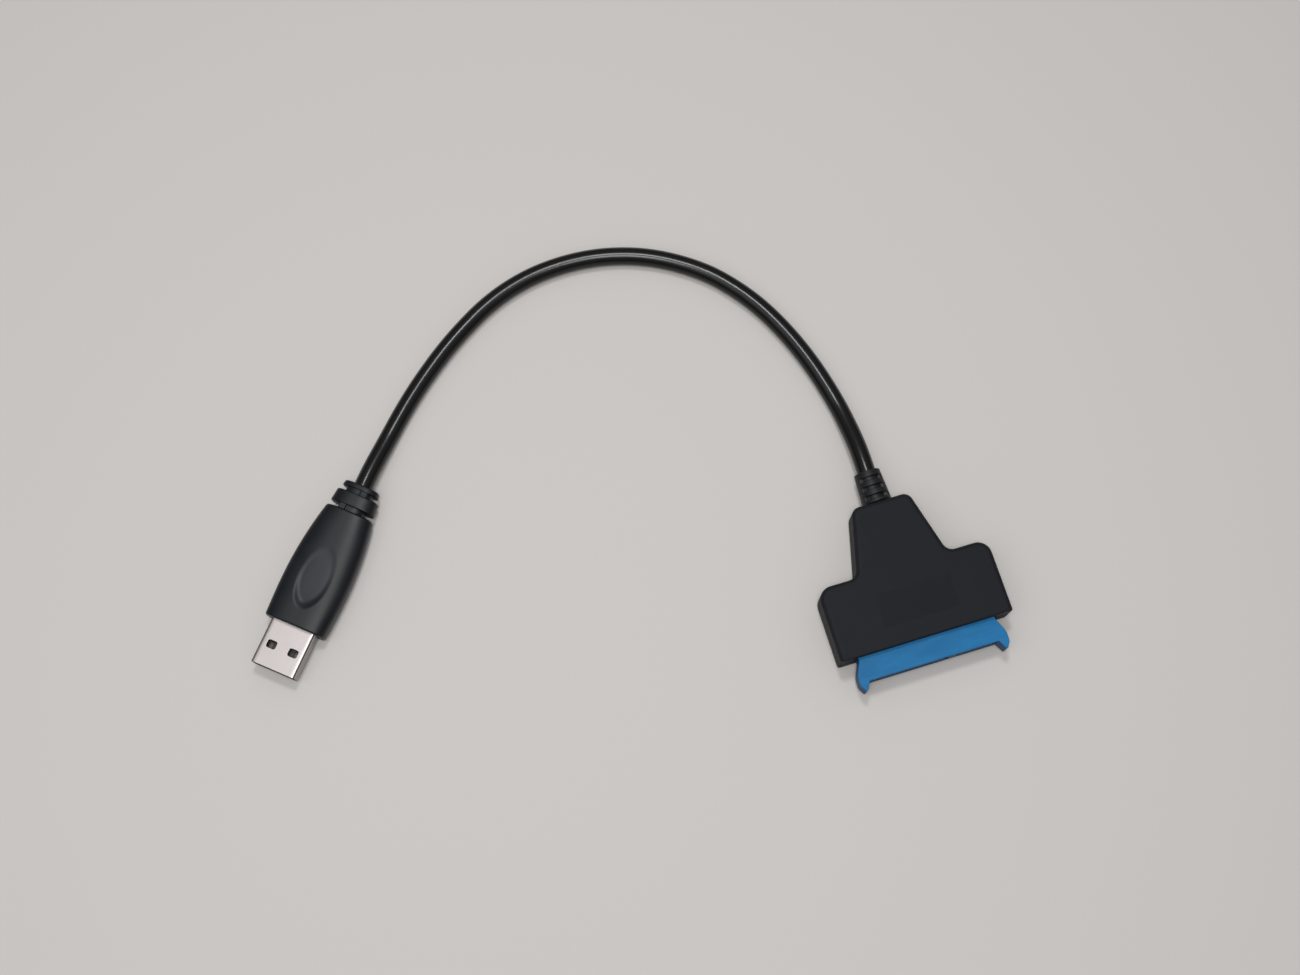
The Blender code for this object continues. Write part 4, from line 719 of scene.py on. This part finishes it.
def build_housing(finish):
    """Two hollow shells. Each is a wall profile carried round the T outline: up the inside, out
    along the seam with its lip or rebate, up the outside and round the edge to the flat face. The
    front side's edge is finer than the others', so its insets follow a smaller quarter circle at
    the same heights. The socket's window and the boot's hole are blocks of left-out cells."""
    clock = np.tan(np.radians(np.arange(-45.0, 45.0 + TINY, CLOCK_STEP)))
    hole_half = BOOT_HOLE * HOLE_SQUARE
    sides = {REAR_SIDE: -hole_half * clock,
             FRONT_SIDE: np.linspace(-WINDOW_HALF_WIDTH, WINDOW_HALF_WIDTH, WINDOW_POINTS)}
    steps = hole_half * clock[clock > TINY]
    ceiling = MID_HEIGHT - HOUSING_WALL
    for name, sign, lip in (("housing_top", 1, False), ("housing_bottom", -1, True)):
        inner = LIP_INNER if lip else LIP_OUTER
        ledge = LIP_HEIGHT if lip else LIP_HEIGHT + FINE
        below, above = steps[steps < ledge], steps[steps > ledge]
        rows = [(HOUSING_WALL + RIM_BAND, ceiling), (HOUSING_WALL, ceiling),
                (HOUSING_WALL, WINDOW_HALF_HEIGHT)]
        inner_top = len(rows) - 1
        rows += [(HOUSING_WALL, rise) for rise in above[::-1]]
        rows += [(HOUSING_WALL, ledge), (inner, ledge)]
        if not lip:
            rows += [(inner, rise) for rise in below[::-1]]
        rows += [(inner, SEAM / 2), (SEAM_EDGE, SEAM / 2), (0.0, SEAM / 2 + SEAM_EDGE)]
        outer_start = len(rows) - 1
        rows += [(0.0, rise) for rise in steps] + [(0.0, WINDOW_HALF_HEIGHT)]
        outer_top = len(rows) - 1
        rows = np.array(rows)
        inset, rise = rounding_rows(HOUSING_EDGE, HOUSING_EDGE_STEPS)
        rise = rise + MID_HEIGHT - HOUSING_EDGE
        over = np.clip(rise - MID_HEIGHT + HOUSING_FRONT_EDGE, 0, HOUSING_FRONT_EDGE)
        front = HOUSING_FRONT_EDGE - np.sqrt(HOUSING_FRONT_EDGE ** 2 - over ** 2)
        side_inset = np.r_[rows[:, 0], inset, inset[-1] + RIM_BAND]
        front_inset = np.r_[rows[:, 0], front, front[-1] + RIM_BAND]
        height = MID_HEIGHT + sign * np.r_[rows[:, 1], rise, rise[-1]]
        wear = np.r_[rows[:, 0] * 0, np.sin(np.linspace(0, np.pi, len(inset))) ** 2, 0]
        insets = np.repeat(side_inset[:, None], len(HOUSING_CORNERS), axis=1)
        insets[:, FRONT_SIDE] = front_inset
        points = raised(outline(HOUSING_CORNERS, insets, sides), height)
        count, columns = points.shape[:2]

        rear = points[..., 1] > HOUSING_DEPTH - HOUSING_WALL - TINY
        points[rear, 0], upright = rounded_hole(points[rear, 0], points[rear, 2] - MID_HEIGHT,
                                                (hole_half, hole_half), BOOT_HOLE / hole_half, 2, HOLE_REACH)
        points[rear, 2] = upright + MID_HEIGHT
        kept = np.ones((count - 1, columns), bool)
        extra = []
        left = first_column(REAR_SIDE, sides)
        opened(kept, extra, inner_top + 1, outer_start + len(steps), left, left + len(clock) - 1, columns)
        left = first_column(FRONT_SIDE, sides)
        opened(kept, extra, inner_top, outer_top, left, left + WINDOW_POINTS - 1, columns)
        faces = closed_faces(count, columns, kept) + extra
        points = in_head(points.reshape(-1, 3))
        piece = mesh_piece(name, points, faces, finish, edge=np.repeat(wear, columns))
        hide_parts(name)


# Drive socket

SOCKET_CORNERS = mirrored([
    (EAR_INNER / 2, -SOCKET_REACH, EAR_INNER_ROUND),
    (EAR_INNER / 2 + EAR_TIP_WIDTH, -SOCKET_REACH - EAR_REACH, EAR_TIP_ROUND),
    (EAR_SPAN / 2, -SOCKET_REACH - EAR_SHOULDER, EAR_SHOULDER_ROUND),
    (EAR_SPAN / 2, -EAR_FLARE_START - EAR_FLARE_LENGTH, EAR_FLARE_ROUND),
    (SOCKET_WIDTH / 2, -EAR_FLARE_START, EAR_ROOT_ROUND),
    (SOCKET_WIDTH / 2, SOCKET_BACK, SOCKET_BACK_ROUND)])
SOCKET_FRONT_SIDE = len(SOCKET_CORNERS) - 1


def contact_places(slot_left, slot_right, count):
    """The x of each contact of a slot, evenly pitched about the middle of the slot's bar."""
    middle = (slot_left + slot_right - SLOT_LEG_WIDTH / 2) / 2
    return middle + (np.arange(count) - (count - 1) / 2) * CONTACT_PITCH


def in_slots(x, z):
    """True where a point of the socket's front face lies in an L slot or a contact's channel."""
    found = np.zeros(np.broadcast(x, z).shape, bool)
    for left, right, count in SLOTS:
        bar = (x > left) & (x < right) & (z > SLOT_FLOOR) & (z < SLOT_FLOOR + SLOT_HEIGHT)
        leg = (x > right - SLOT_LEG_WIDTH) & (x < right) & (z > SLOT_FLOOR) & (z < SLOT_LEG_TOP)
        found |= bar | leg
        near = np.abs(x[..., None] - contact_places(left, right, count)).min(-1) < CHANNEL_HALF
        found |= near & (z > CHANNEL_FLOOR) & (z < SLOT_FLOOR + TINY)
    return found


def sunk(cells, masked, depth_offset):
    """Faces of a stepped recess: the masked cells moved back, and a wall wherever a masked cell
    meets one that is not. Moved points have their numbers raised by the offset."""
    faces = (cells[masked] + depth_offset).tolist()
    around = np.pad(masked, 1)
    neighbours = (around[:-2, 1:-1], around[1:-1, 2:], around[2:, 1:-1], around[1:-1, :-2])
    for edge, neighbour in enumerate(neighbours):
        first, second = cells[masked & ~neighbour][:, [edge, (edge + 1) % 4]].T
        faces += np.column_stack([first, second, second + depth_offset, first + depth_offset]).tolist()
    return faces


def build_socket(finish):
    """The plan with its two flared and pointed ears, carried up with small rounded edges. Where a
    cell of the front face lies in a slot or a contact's channel it is moved back, with walls
    round it. A flange, which the housing holds, goes round its back."""
    xs = [-SLOT_EDGE, SLOT_EDGE]
    for left, right, count in SLOTS:
        places = contact_places(left, right, count)
        xs += [left, right, right - SLOT_LEG_WIDTH, *(places - CHANNEL_HALF), *(places + CHANNEL_HALF)]
    xs = np.unique(np.round(xs, 5))
    sides = {SOCKET_FRONT_SIDE: xs}
    low, high = MID_HEIGHT - SOCKET_HEIGHT / 2, MID_HEIGHT + SOCKET_HEIGHT / 2
    inset, rise = rounding_rows(SOCKET_EDGE, EDGE_STEPS)
    cap = SOCKET_EDGE + SOCKET_CAP_BAND
    middle = [CHANNEL_FLOOR, SLOT_FLOOR, SLOT_FLOOR + SLOT_HEIGHT, SLOT_LEG_TOP]
    insets = np.r_[cap, inset[::-1], np.zeros(len(middle)), inset, cap]
    height = np.r_[low, low + SOCKET_EDGE - rise[::-1], middle, high - SOCKET_EDGE + rise, high]
    insets = np.repeat(insets[:, None], len(SOCKET_CORNERS), axis=1)
    points = raised(outline(SOCKET_CORNERS, insets, sides, SOCKET_CORNER_STEPS), height)
    count, columns = points.shape[:2]
    points = points.reshape(-1, 3)
    left = first_column(SOCKET_FRONT_SIDE, sides, SOCKET_CORNER_STEPS)
    right = left + len(xs) - 1
    front = grid_cells(count, columns)[:, left:right]
    masked = in_slots(*np.meshgrid((xs[:-1] + xs[1:]) / 2, (height[:-1] + height[1:]) / 2))
    kept = np.ones((count - 1, columns), bool)
    kept[:, left:right] = ~masked
    faces = closed_faces(count, columns, kept) + sunk(front, masked, len(points))
    points = np.vstack([points, points + [0, SLOT_DEPTH, 0]])

    flange = mirrored([(FLANGE_HALF, FLANGE_FRONT, FLANGE_ROUND), (FLANGE_HALF, SOCKET_BACK, FLANGE_ROUND)])
    rim_insets = np.array([cap, SOCKET_EDGE, 0.0, 0.0, SOCKET_EDGE, cap])
    rim = outline(flange, np.repeat(rim_insets[:, None], len(flange), axis=1), {}, EDGE_STEPS)
    tall = np.array([0.0, 0.0, SOCKET_EDGE, -SOCKET_EDGE, 0.0, 0.0])
    tall += np.repeat([HOUSING_WALL + GAP, HOUSING_HEIGHT - HOUSING_WALL - GAP], 3)
    faces += [[corner + len(points) for corner in face] for face in closed_faces(*rim.shape[:2])]
    points = np.vstack([points, raised(rim, tall).reshape(-1, 3)])
    used = np.unique(np.concatenate([np.ravel(face) for face in faces]))
    renumbered = np.full(len(points), -1)
    renumbered[used] = np.arange(len(used))
    faces = [renumbered[face].tolist() for face in faces]
    piece = mesh_piece("socket_body", in_head(points[used]), faces, finish)
    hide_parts("socket_body")


# Boot

def build_boot(finish):
    """A tapered sleeve round the cable. Its radius is the taper's, less a small quarter circle by
    each edge, and drops to the core's in three rows of slots above and below, which the boot's
    sides bridge."""
    angle = full_turn(BOOT_SIDES)
    pitch = (BOOT_LENGTH - BOOT_PLAIN_END) / BOOT_ROWS
    inset, rise = rounding_rows(BOOT_EDGE, EDGE_STEPS)
    inside, outside = (math.asin(BOOT_BRIDGE / 2 / reach) for reach in (BOOT_BASE_RADIUS, BOOT_CORE_RADIUS))
    offset = np.abs((angle + np.pi / 2) % np.pi - np.pi / 2)
    bridge = 1 - eased((offset - inside) / (outside - inside))

    def taper(y):
        return BOOT_BASE_RADIUS + (BOOT_END_RADIUS - BOOT_BASE_RADIUS) * (y - BOOT_START) / BOOT_LENGTH

    rows = [(BOOT_FLANGE_FRONT, BOOT_FLANGE_RADIUS - BOOT_FLANGE_FACE),
            (BOOT_FLANGE_FRONT, BOOT_FLANGE_RADIUS), (BOOT_FLANGE_REAR, BOOT_FLANGE_RADIUS),
            (BOOT_FLANGE_REAR, BOOT_NECK_RADIUS), (BOOT_START, BOOT_NECK_RADIUS)]
    rows += [(BOOT_START + BOOT_EDGE - up, taper(BOOT_START) - shrink)
             for shrink, up in zip(inset[::-1], rise[::-1])]
    for number in range(BOOT_ROWS):
        near = BOOT_START + BOOT_FIRST_ROW + pitch * number
        far = near + BOOT_SLOT
        rows.append((near - BOOT_MARGIN, taper(near - BOOT_MARGIN)))
        rows += [(near - BOOT_EDGE + up, taper(near) - shrink * (1 - bridge))
                 for shrink, up in zip(inset, rise)]
        rows += [(y, BOOT_CORE_RADIUS + (taper(y) - BOOT_CORE_RADIUS) * bridge)
                 for y in np.linspace(near, far, BOOT_SLOT_ROWS)]
        rows += [(far + BOOT_EDGE - up, taper(far) - shrink * (1 - bridge))
                 for shrink, up in zip(inset[::-1], rise[::-1])]
        rows.append((far + BOOT_MARGIN, taper(far + BOOT_MARGIN)))
    rows += [(BOOT_END - BOOT_EDGE + up, BOOT_END_RADIUS - shrink) for shrink, up in zip(inset, rise)]
    bore = CABLE_RADIUS + SNUG
    rows += [(BOOT_END, bore + BORE_CHAMFER), (BOOT_END - BORE_CHAMFER, bore),
             (BOOT_END - CABLE_SUNK - BORE_BEYOND, bore)]
    radius = np.array([np.broadcast_to(size, angle.shape) for _, size in rows])
    x, z = radius * np.cos(angle), radius * np.sin(angle)
    flange_rows = slice(0, 3)
    z[flange_rows] = np.clip(z[flange_rows], -BOOT_FLANGE_RISE, BOOT_FLANGE_RISE)
    y = np.broadcast_to(np.array([place for place, _ in rows])[:, None], x.shape)
    points = np.stack([x, y, z + MID_HEIGHT], axis=-1).reshape(-1, 3)
    piece = mesh_piece("boot", in_head(points), closed_faces(len(rows), BOOT_SIDES), finish)
    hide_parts("boot")


# Cable

def smooth_route(route, count):
    """Evenly spaced points on the smooth curve through the route: each span is the cubic whose
    ends lean along the chord of the neighbours on either side."""
    route = np.array(route, float)
    padded = np.vstack([2 * route[0] - route[1], route, 2 * route[-1] - route[-2]])
    share = np.linspace(0, 1, ROUTE_STEPS, endpoint=False)[:, None]
    spans = []
    for a, b, c, d in zip(padded, padded[1:], padded[2:], padded[3:]):
        spans.append(0.5 * (2 * b + (c - a) * share + (2 * a - 5 * b + 4 * c - d) * share ** 2
                            + (3 * b - a - 3 * c + d) * share ** 3))
    fine = np.vstack(spans + [route[-1:]])
    travelled = travelled_along(fine)
    wanted = np.linspace(0, travelled[-1], count)
    return np.stack([np.interp(wanted, travelled, column) for column in fine.T], axis=1)


def cable_path():
    """The route on the table, raised at both ends to meet the boot and the plug, and run on
    straight for a little at both ends, into the boot and into the plug's relief."""
    flat = smooth_route(CABLE_ROUTE, CABLE_RINGS)
    travelled = travelled_along(flat)
    drop = eased(1 - travelled / CABLE_DROP)
    rise = eased(1 - (travelled[-1] - travelled) / CABLE_RISE)
    height = CABLE_REST + (MID_HEIGHT - CABLE_REST) * drop + (PLUG_AXIS - CABLE_REST) * rise
    path = np.column_stack([flat, height])
    beyond = CABLE_SUNK * np.linspace(0.2, 1, SUNK_RINGS)[:, None]
    heading = np.array([-math.sin(PLUG_TURN), math.cos(PLUG_TURN), 0.0])
    return np.vstack([path[0] - [0, 1, 0] * beyond[::-1], path, path[-1] + heading * beyond])


def build_cable(finish):
    """A round tube: at each point of the path a circle square to it, with a flat cap at each end."""
    path = cable_path()
    tangent = np.gradient(path, axis=0)
    tangent /= np.linalg.norm(tangent, axis=1, keepdims=True)
    level = np.cross([0.0, 0.0, 1.0], tangent)
    level /= np.linalg.norm(level, axis=1, keepdims=True)
    upright = np.cross(tangent, level)
    angle = full_turn(CABLE_SIDES)
    spokes = np.cos(angle)[:, None] * level[:, None] + np.sin(angle)[:, None] * upright[:, None]
    points = (path[:, None] + CABLE_RADIUS * spokes).reshape(-1, 3)
    travelled = travelled_along(path)
    around = np.tile(angle * CABLE_RADIUS, len(path))
    coordinates = np.column_stack([around, np.repeat(travelled, CABLE_SIDES)]) * MM
    piece = mesh_piece("cable", points, closed_faces(len(path), CABLE_SIDES), finish, 60.0, coordinates)
    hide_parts("cable_jacket")
    return piece, path, float(travelled[-1])


# Plug

def superellipse(half, rise, power, angle):
    """Points of closed curves in polar form: the distance at an angle is the sum of the shares
    of the cosine and the sine, each to the power, to minus one over the power."""
    cosine, sine = np.cos(angle), np.sin(angle)
    shares = np.abs(cosine / half) ** power + np.abs(sine / rise) ** power
    distance = shares ** (-1 / power)
    return distance * cosine, distance * sine


def grip_half(share):
    """Half width along the grip: a quarter sine out to the swell, then a parabola to the tail."""
    out = GRIP_FRONT_HALF + (GRIP_WAIST_HALF - GRIP_FRONT_HALF) * np.sin(share / GRIP_SWELL * np.pi / 2)
    reach = np.clip((share - GRIP_SWELL) / (1 - GRIP_SWELL), 0, 1)
    back = GRIP_TAIL_HALF + (GRIP_WAIST_HALF - GRIP_TAIL_HALF) * (1 - reach ** 2)
    return np.where(share < GRIP_SWELL, out, back)


def grip_rows():
    """Stations of the grip from the shell's pocket to the cable's bore: y, half width, half
    thickness, squareness, and the middle of a bridge where there is one."""
    rows = []
    bore = CABLE_RADIUS + SNUG
    front = -SHELL_REACH
    wide, high = SHELL_WIDTH / 2 + SNUG, SHELL_HEIGHT / 2 + SNUG
    rows += [(front - SHELL_HELD - GAP, wide, high, POCKET_SQUARENESS, None),
             (front - POCKET_CHAMFER, wide, high, POCKET_SQUARENESS, None),
             (front, wide + POCKET_CHAMFER, high + POCKET_CHAMFER, POCKET_SQUARENESS, None)]
    for away, shrink in rounded_length(GRIP_LENGTH, GRIP_EDGE, GRIP_EDGE_STEPS, GRIP_STATIONS):
        share = away / GRIP_LENGTH
        thick = GRIP_THICKNESS + (GRIP_TAIL_THICKNESS - GRIP_THICKNESS) * share ** 3
        power = GRIP_SQUARENESS[0] + (GRIP_SQUARENESS[1] - GRIP_SQUARENESS[0]) * share
        rows.append((front - away, float(grip_half(share)) - shrink, thick / 2 - shrink, power, None))
    y = front - GRIP_LENGTH
    power = GRIP_SQUARENESS[1]
    sizes = zip(RELIEF_LENGTHS, RELIEF_HALF_WIDTHS, RELIEF_THICKNESSES, (1, -1))
    for length, half, thick, side in sizes:
        bridge = (side * half / 3, thick / 2 * RELIEF_BRIDGE_RISE)
        rows += [(y - away, *RELIEF_CORE, power, bridge) for away in np.linspace(0, RELIEF_GAP, RELIEF_ROWS)]
        y -= RELIEF_GAP
        for away, shrink in rounded_length(length, RELIEF_EDGE, RELIEF_EDGE_STEPS, RELIEF_ROWS):
            taper = 1 + (RELIEF_TAPER - 1) * away / length
            rows.append((y - away, half * taper - shrink, thick / 2 * taper - shrink, power, None))
        y -= length
    rows += [(y, bore + RELIEF_CHAMFER, bore + RELIEF_CHAMFER, 2.0, None),
             (y + RELIEF_CHAMFER, bore, bore, 2.0, None),
             (y + CABLE_SUNK + BORE_BEYOND, bore, bore, 2.0, None)]
    return rows


def build_grip(finish):
    """A closed surface through superellipse sections. Inside the thumb recess's ellipse the top is
    lowered, with an eased wall, by a depth that grows as the cube of the way to the front."""
    rows = grip_rows()
    turn = full_turn(GRIP_SIDES)
    angle = np.arctan2(GRIP_THICKNESS / 2 * np.sin(turn), GRIP_WAIST_HALF * np.cos(turn))
    y, half, rise, power = (np.array([row[column] for row in rows])[:, None] for column in range(4))
    x, z = superellipse(half, rise, power, angle[None, :])
    for index, row in enumerate(rows):
        if row[4]:
            place, top = row[4]
            past = np.abs(x[index] - place) - RELIEF_BRIDGE / 2
            inside = 1 - eased((past + RELIEF_BRIDGE_FADE) / (2 * RELIEF_BRIDGE_FADE))
            inside = inside * (np.abs(z[index]) > RELIEF_BRIDGE_LEAST)
            z[index] += (np.sign(z[index]) * top - z[index]) * inside
    y = np.broadcast_to(y, x.shape)
    z = z + PLUG_AXIS
    away = np.hypot(x / (RECESS_WIDTH / 2), (y - RECESS_CENTRE) / (RECESS_LENGTH / 2))
    inside = (1 - eased((away - RECESS_WALL[0]) / (RECESS_WALL[1] - RECESS_WALL[0]))) * (z > PLUG_AXIS)
    forward = np.clip((y - RECESS_CENTRE) / RECESS_LENGTH + 0.5, 0, 1)
    depth = RECESS_DEPTHS[0] + (RECESS_DEPTHS[1] - RECESS_DEPTHS[0]) * forward ** 3
    z = z - inside * depth
    points = np.stack([x, y, z], axis=-1).reshape(-1, 3)
    piece = mesh_piece("usb_grip", in_plug(points), closed_faces(len(rows), GRIP_SIDES), finish, 60.0)
    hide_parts("usb_grip")
    return piece


def build_shell(finish):
    """Sheet steel carried round a rounded rectangle from one side of the seam to the other, with
    four latch windows left out, their corners eased, then given its thickness."""
    half, rise = (SHELL_WIDTH - SHELL_WALL) / 2, (SHELL_HEIGHT - SHELL_WALL) / 2
    radius = SHELL_CORNER - SHELL_WALL / 2
    spread = LATCH_SPREAD + LATCH_WIDTH / 2 * LATCH_STATIONS
    arc = np.linspace(0, np.pi / 2, SHELL_CORNER_POINTS)
    corner_x, corner_z = half - radius + radius * np.sin(arc), -rise + radius * (1 - np.cos(arc))
    bottom = np.r_[SHELL_SEAM / 2, spread]
    right = np.column_stack([np.r_[bottom, corner_x, half, corner_x[::-1], spread[::-1], 0.0],
                             np.r_[bottom * 0 - rise, corner_z, 0, -corner_z[::-1], spread * 0 + rise, rise]])
    section = np.vstack([right, right[-2::-1] * [-1, 1]])
    window = LATCH_LENGTH / 2 * LATCH_STATIONS[::-1]
    along = np.r_[0.0, -SHELL_FRONT_BAND, window - LATCH_SETBACK, -SHELL_REACH, -SHELL_REACH - SHELL_HELD]
    x = np.broadcast_to(section[:, 0], (len(along), len(section))).copy()
    z = np.broadcast_to(section[:, 1], x.shape)
    y = np.broadcast_to(along[:, None], x.shape).copy()
    flat = np.abs(z) > rise - TINY
    side = np.where(x > 0, 1.0, -1.0)
    bent_x, bent_y = rounded_hole(x - side * LATCH_SPREAD, y + LATCH_SETBACK,
                                  (LATCH_WIDTH / 2, LATCH_LENGTH / 2), 1.0, LATCH_SQUARENESS, LATCH_REACH)
    near = flat & (np.abs(x - side * LATCH_SPREAD) < LATCH_WIDTH / 2 * LATCH_REACH - TINY)
    x, y = np.where(near, bent_x + side * LATCH_SPREAD, x), np.where(near, bent_y - LATCH_SETBACK, y)
    points = np.stack([x, y, z + PLUG_AXIS], axis=-1)
    cells = grid_cells(len(along), len(section), around=False)
    across, up = np.abs(section[:-1] / 2 + section[1:] / 2).T
    in_window = (np.abs(across - LATCH_SPREAD) < LATCH_WIDTH / 2) & (up > rise - TINY)
    row_middle = (along[:-1] + along[1:]) / 2
    hole = (np.abs(row_middle + LATCH_SETBACK) < LATCH_LENGTH / 2)[:, None] & in_window[None, :]
    faces = cells[~hole].tolist()
    piece = mesh_piece("usb_shell", in_plug(points.reshape(-1, 3)), faces, finish, 40.0)
    wall = piece.modifiers.new("sheet", "SOLIDIFY")
    wall.thickness = SHELL_WALL * MM
    wall.offset = 0
    wall.use_even_offset = True
    edges = piece.modifiers.new("edges", "BEVEL")
    edges.width = SHELL_EDGE * MM
    edges.segments = 2
    edges.limit_method = "ANGLE"
    edges.angle_limit = math.radians(50)
    edges.harden_normals = True
    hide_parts("usb_shell")
    return piece


# Stage

def build_stage():
    """A plain pale floor, 8 m square."""
    floor_mesh = bpy.data.meshes.new("floor")
    reach = 4.0
    corners = [(-reach, -reach, 0), (reach, -reach, 0), (reach, reach, 0), (-reach, reach, 0)]
    floor_mesh.from_pydata(corners, [], [(0, 1, 2, 3)])
    floor_mesh.materials.append(Graph("floor_paint", (0.66, 0.635, 0.61), 0.85).material)
    floor = placed("floor", floor_mesh)


def aim(holder, place, target, right=None):
    """Puts a lamp or the camera at a place, looking at a target, with its right side level."""
    look = (Vector(target) - Vector(place)).normalized()
    side = Vector(right).normalized() if right else look.cross(Vector((0, 0, 1))).normalized()
    up = side.cross(look).normalized()
    side = look.cross(up)
    turned = Matrix((side, up, -look)).transposed().to_4x4()
    holder.matrix_world = Matrix.Translation(Vector(place) * MM) @ turned


def lamp(name, place, size, watts, colour=(1.0, 1.0, 1.0)):
    """A rectangular lamp that looks at the middle of the lead."""
    light = bpy.data.lights.new(name, "AREA")
    light.shape = "RECTANGLE"
    light.size, light.size_y = size[0] * MM, size[1] * MM
    light.energy = watts
    light.color = colour
    aim(placed(name, light), place, STAGE_MIDDLE)


def build_light():
    """Soft lamps behind the cable and by the camera, a wide panel at the left, and a sky that is
    dimmer towards the horizon."""
    world = bpy.data.worlds.new("studio")
    bpy.context.scene.world = world
    world.use_nodes = True
    nodes, links = world.node_tree.nodes, world.node_tree.links
    nodes["Background"].inputs["Color"].default_value = (0.97, 0.98, 1.0, 1.0)
    parts = nodes.new("ShaderNodeSeparateXYZ")
    climb = nodes.new("ShaderNodeMapRange")
    climb.inputs["To Min"].default_value, climb.inputs["To Max"].default_value = SKY
    links.new(nodes.new("ShaderNodeTexCoord").outputs["Generated"], parts.inputs[0])
    links.new(parts.outputs["Z"], climb.inputs["Value"])
    backdrop, brighter = nodes.new("ShaderNodeMath"), nodes.new("ShaderNodeMath")
    backdrop.operation, brighter.operation = "MULTIPLY", "MAXIMUM"
    backdrop.inputs[1].default_value = BACKDROP
    links.new(nodes.new("ShaderNodeLightPath").outputs["Is Camera Ray"], backdrop.inputs[0])
    links.new(backdrop.outputs[0], brighter.inputs[0])
    links.new(climb.outputs["Result"], brighter.inputs[1])
    links.new(brighter.outputs[0], nodes["Background"].inputs["Strength"])
    lamp("key_lamp", (-16.0, 224.0, 700.0), (100.0, 100.0), 1.1)
    lamp("front_lamp", (-110.0, -90.0, 700.0), (200.0, 200.0), 1.65, (1.0, 0.99, 0.98))
    lamp("fill_panel", (-380.0, -60.0, 600.0), (500.0, 400.0), 0.45)


def build_camera():
    camera = bpy.data.cameras.new("camera")
    camera.sensor_width = 36.0
    camera.lens = CAMERA_LENS
    camera.clip_start = 0.01
    camera.clip_end = 20.0
    holder = placed("camera", camera)
    aim(holder, CAMERA_PLACE, CAMERA_AIM, CAMERA_RIGHT)
    bpy.context.scene.camera = holder


build_stage()
build_light()
build_camera()
bpy.context.scene.view_settings.view_transform = "Standard"

cable, route, cable_length = build_cable(cable_vinyl())
grip = build_grip(grip_vinyl())
shell = build_shell(shell_steel())
build_housing(housing_plastic())
build_socket(socket_plastic())
build_boot(moulded("boot_vinyl", (0.0060, 0.0066, 0.0086), 0.48, 3600.0, 0.006, Specular_IOR_Level=0.36))
finishes = node_finishes()
for name, node in NODES.items():
    if name in finishes:
        node.material_slots[0].material = finishes[name]
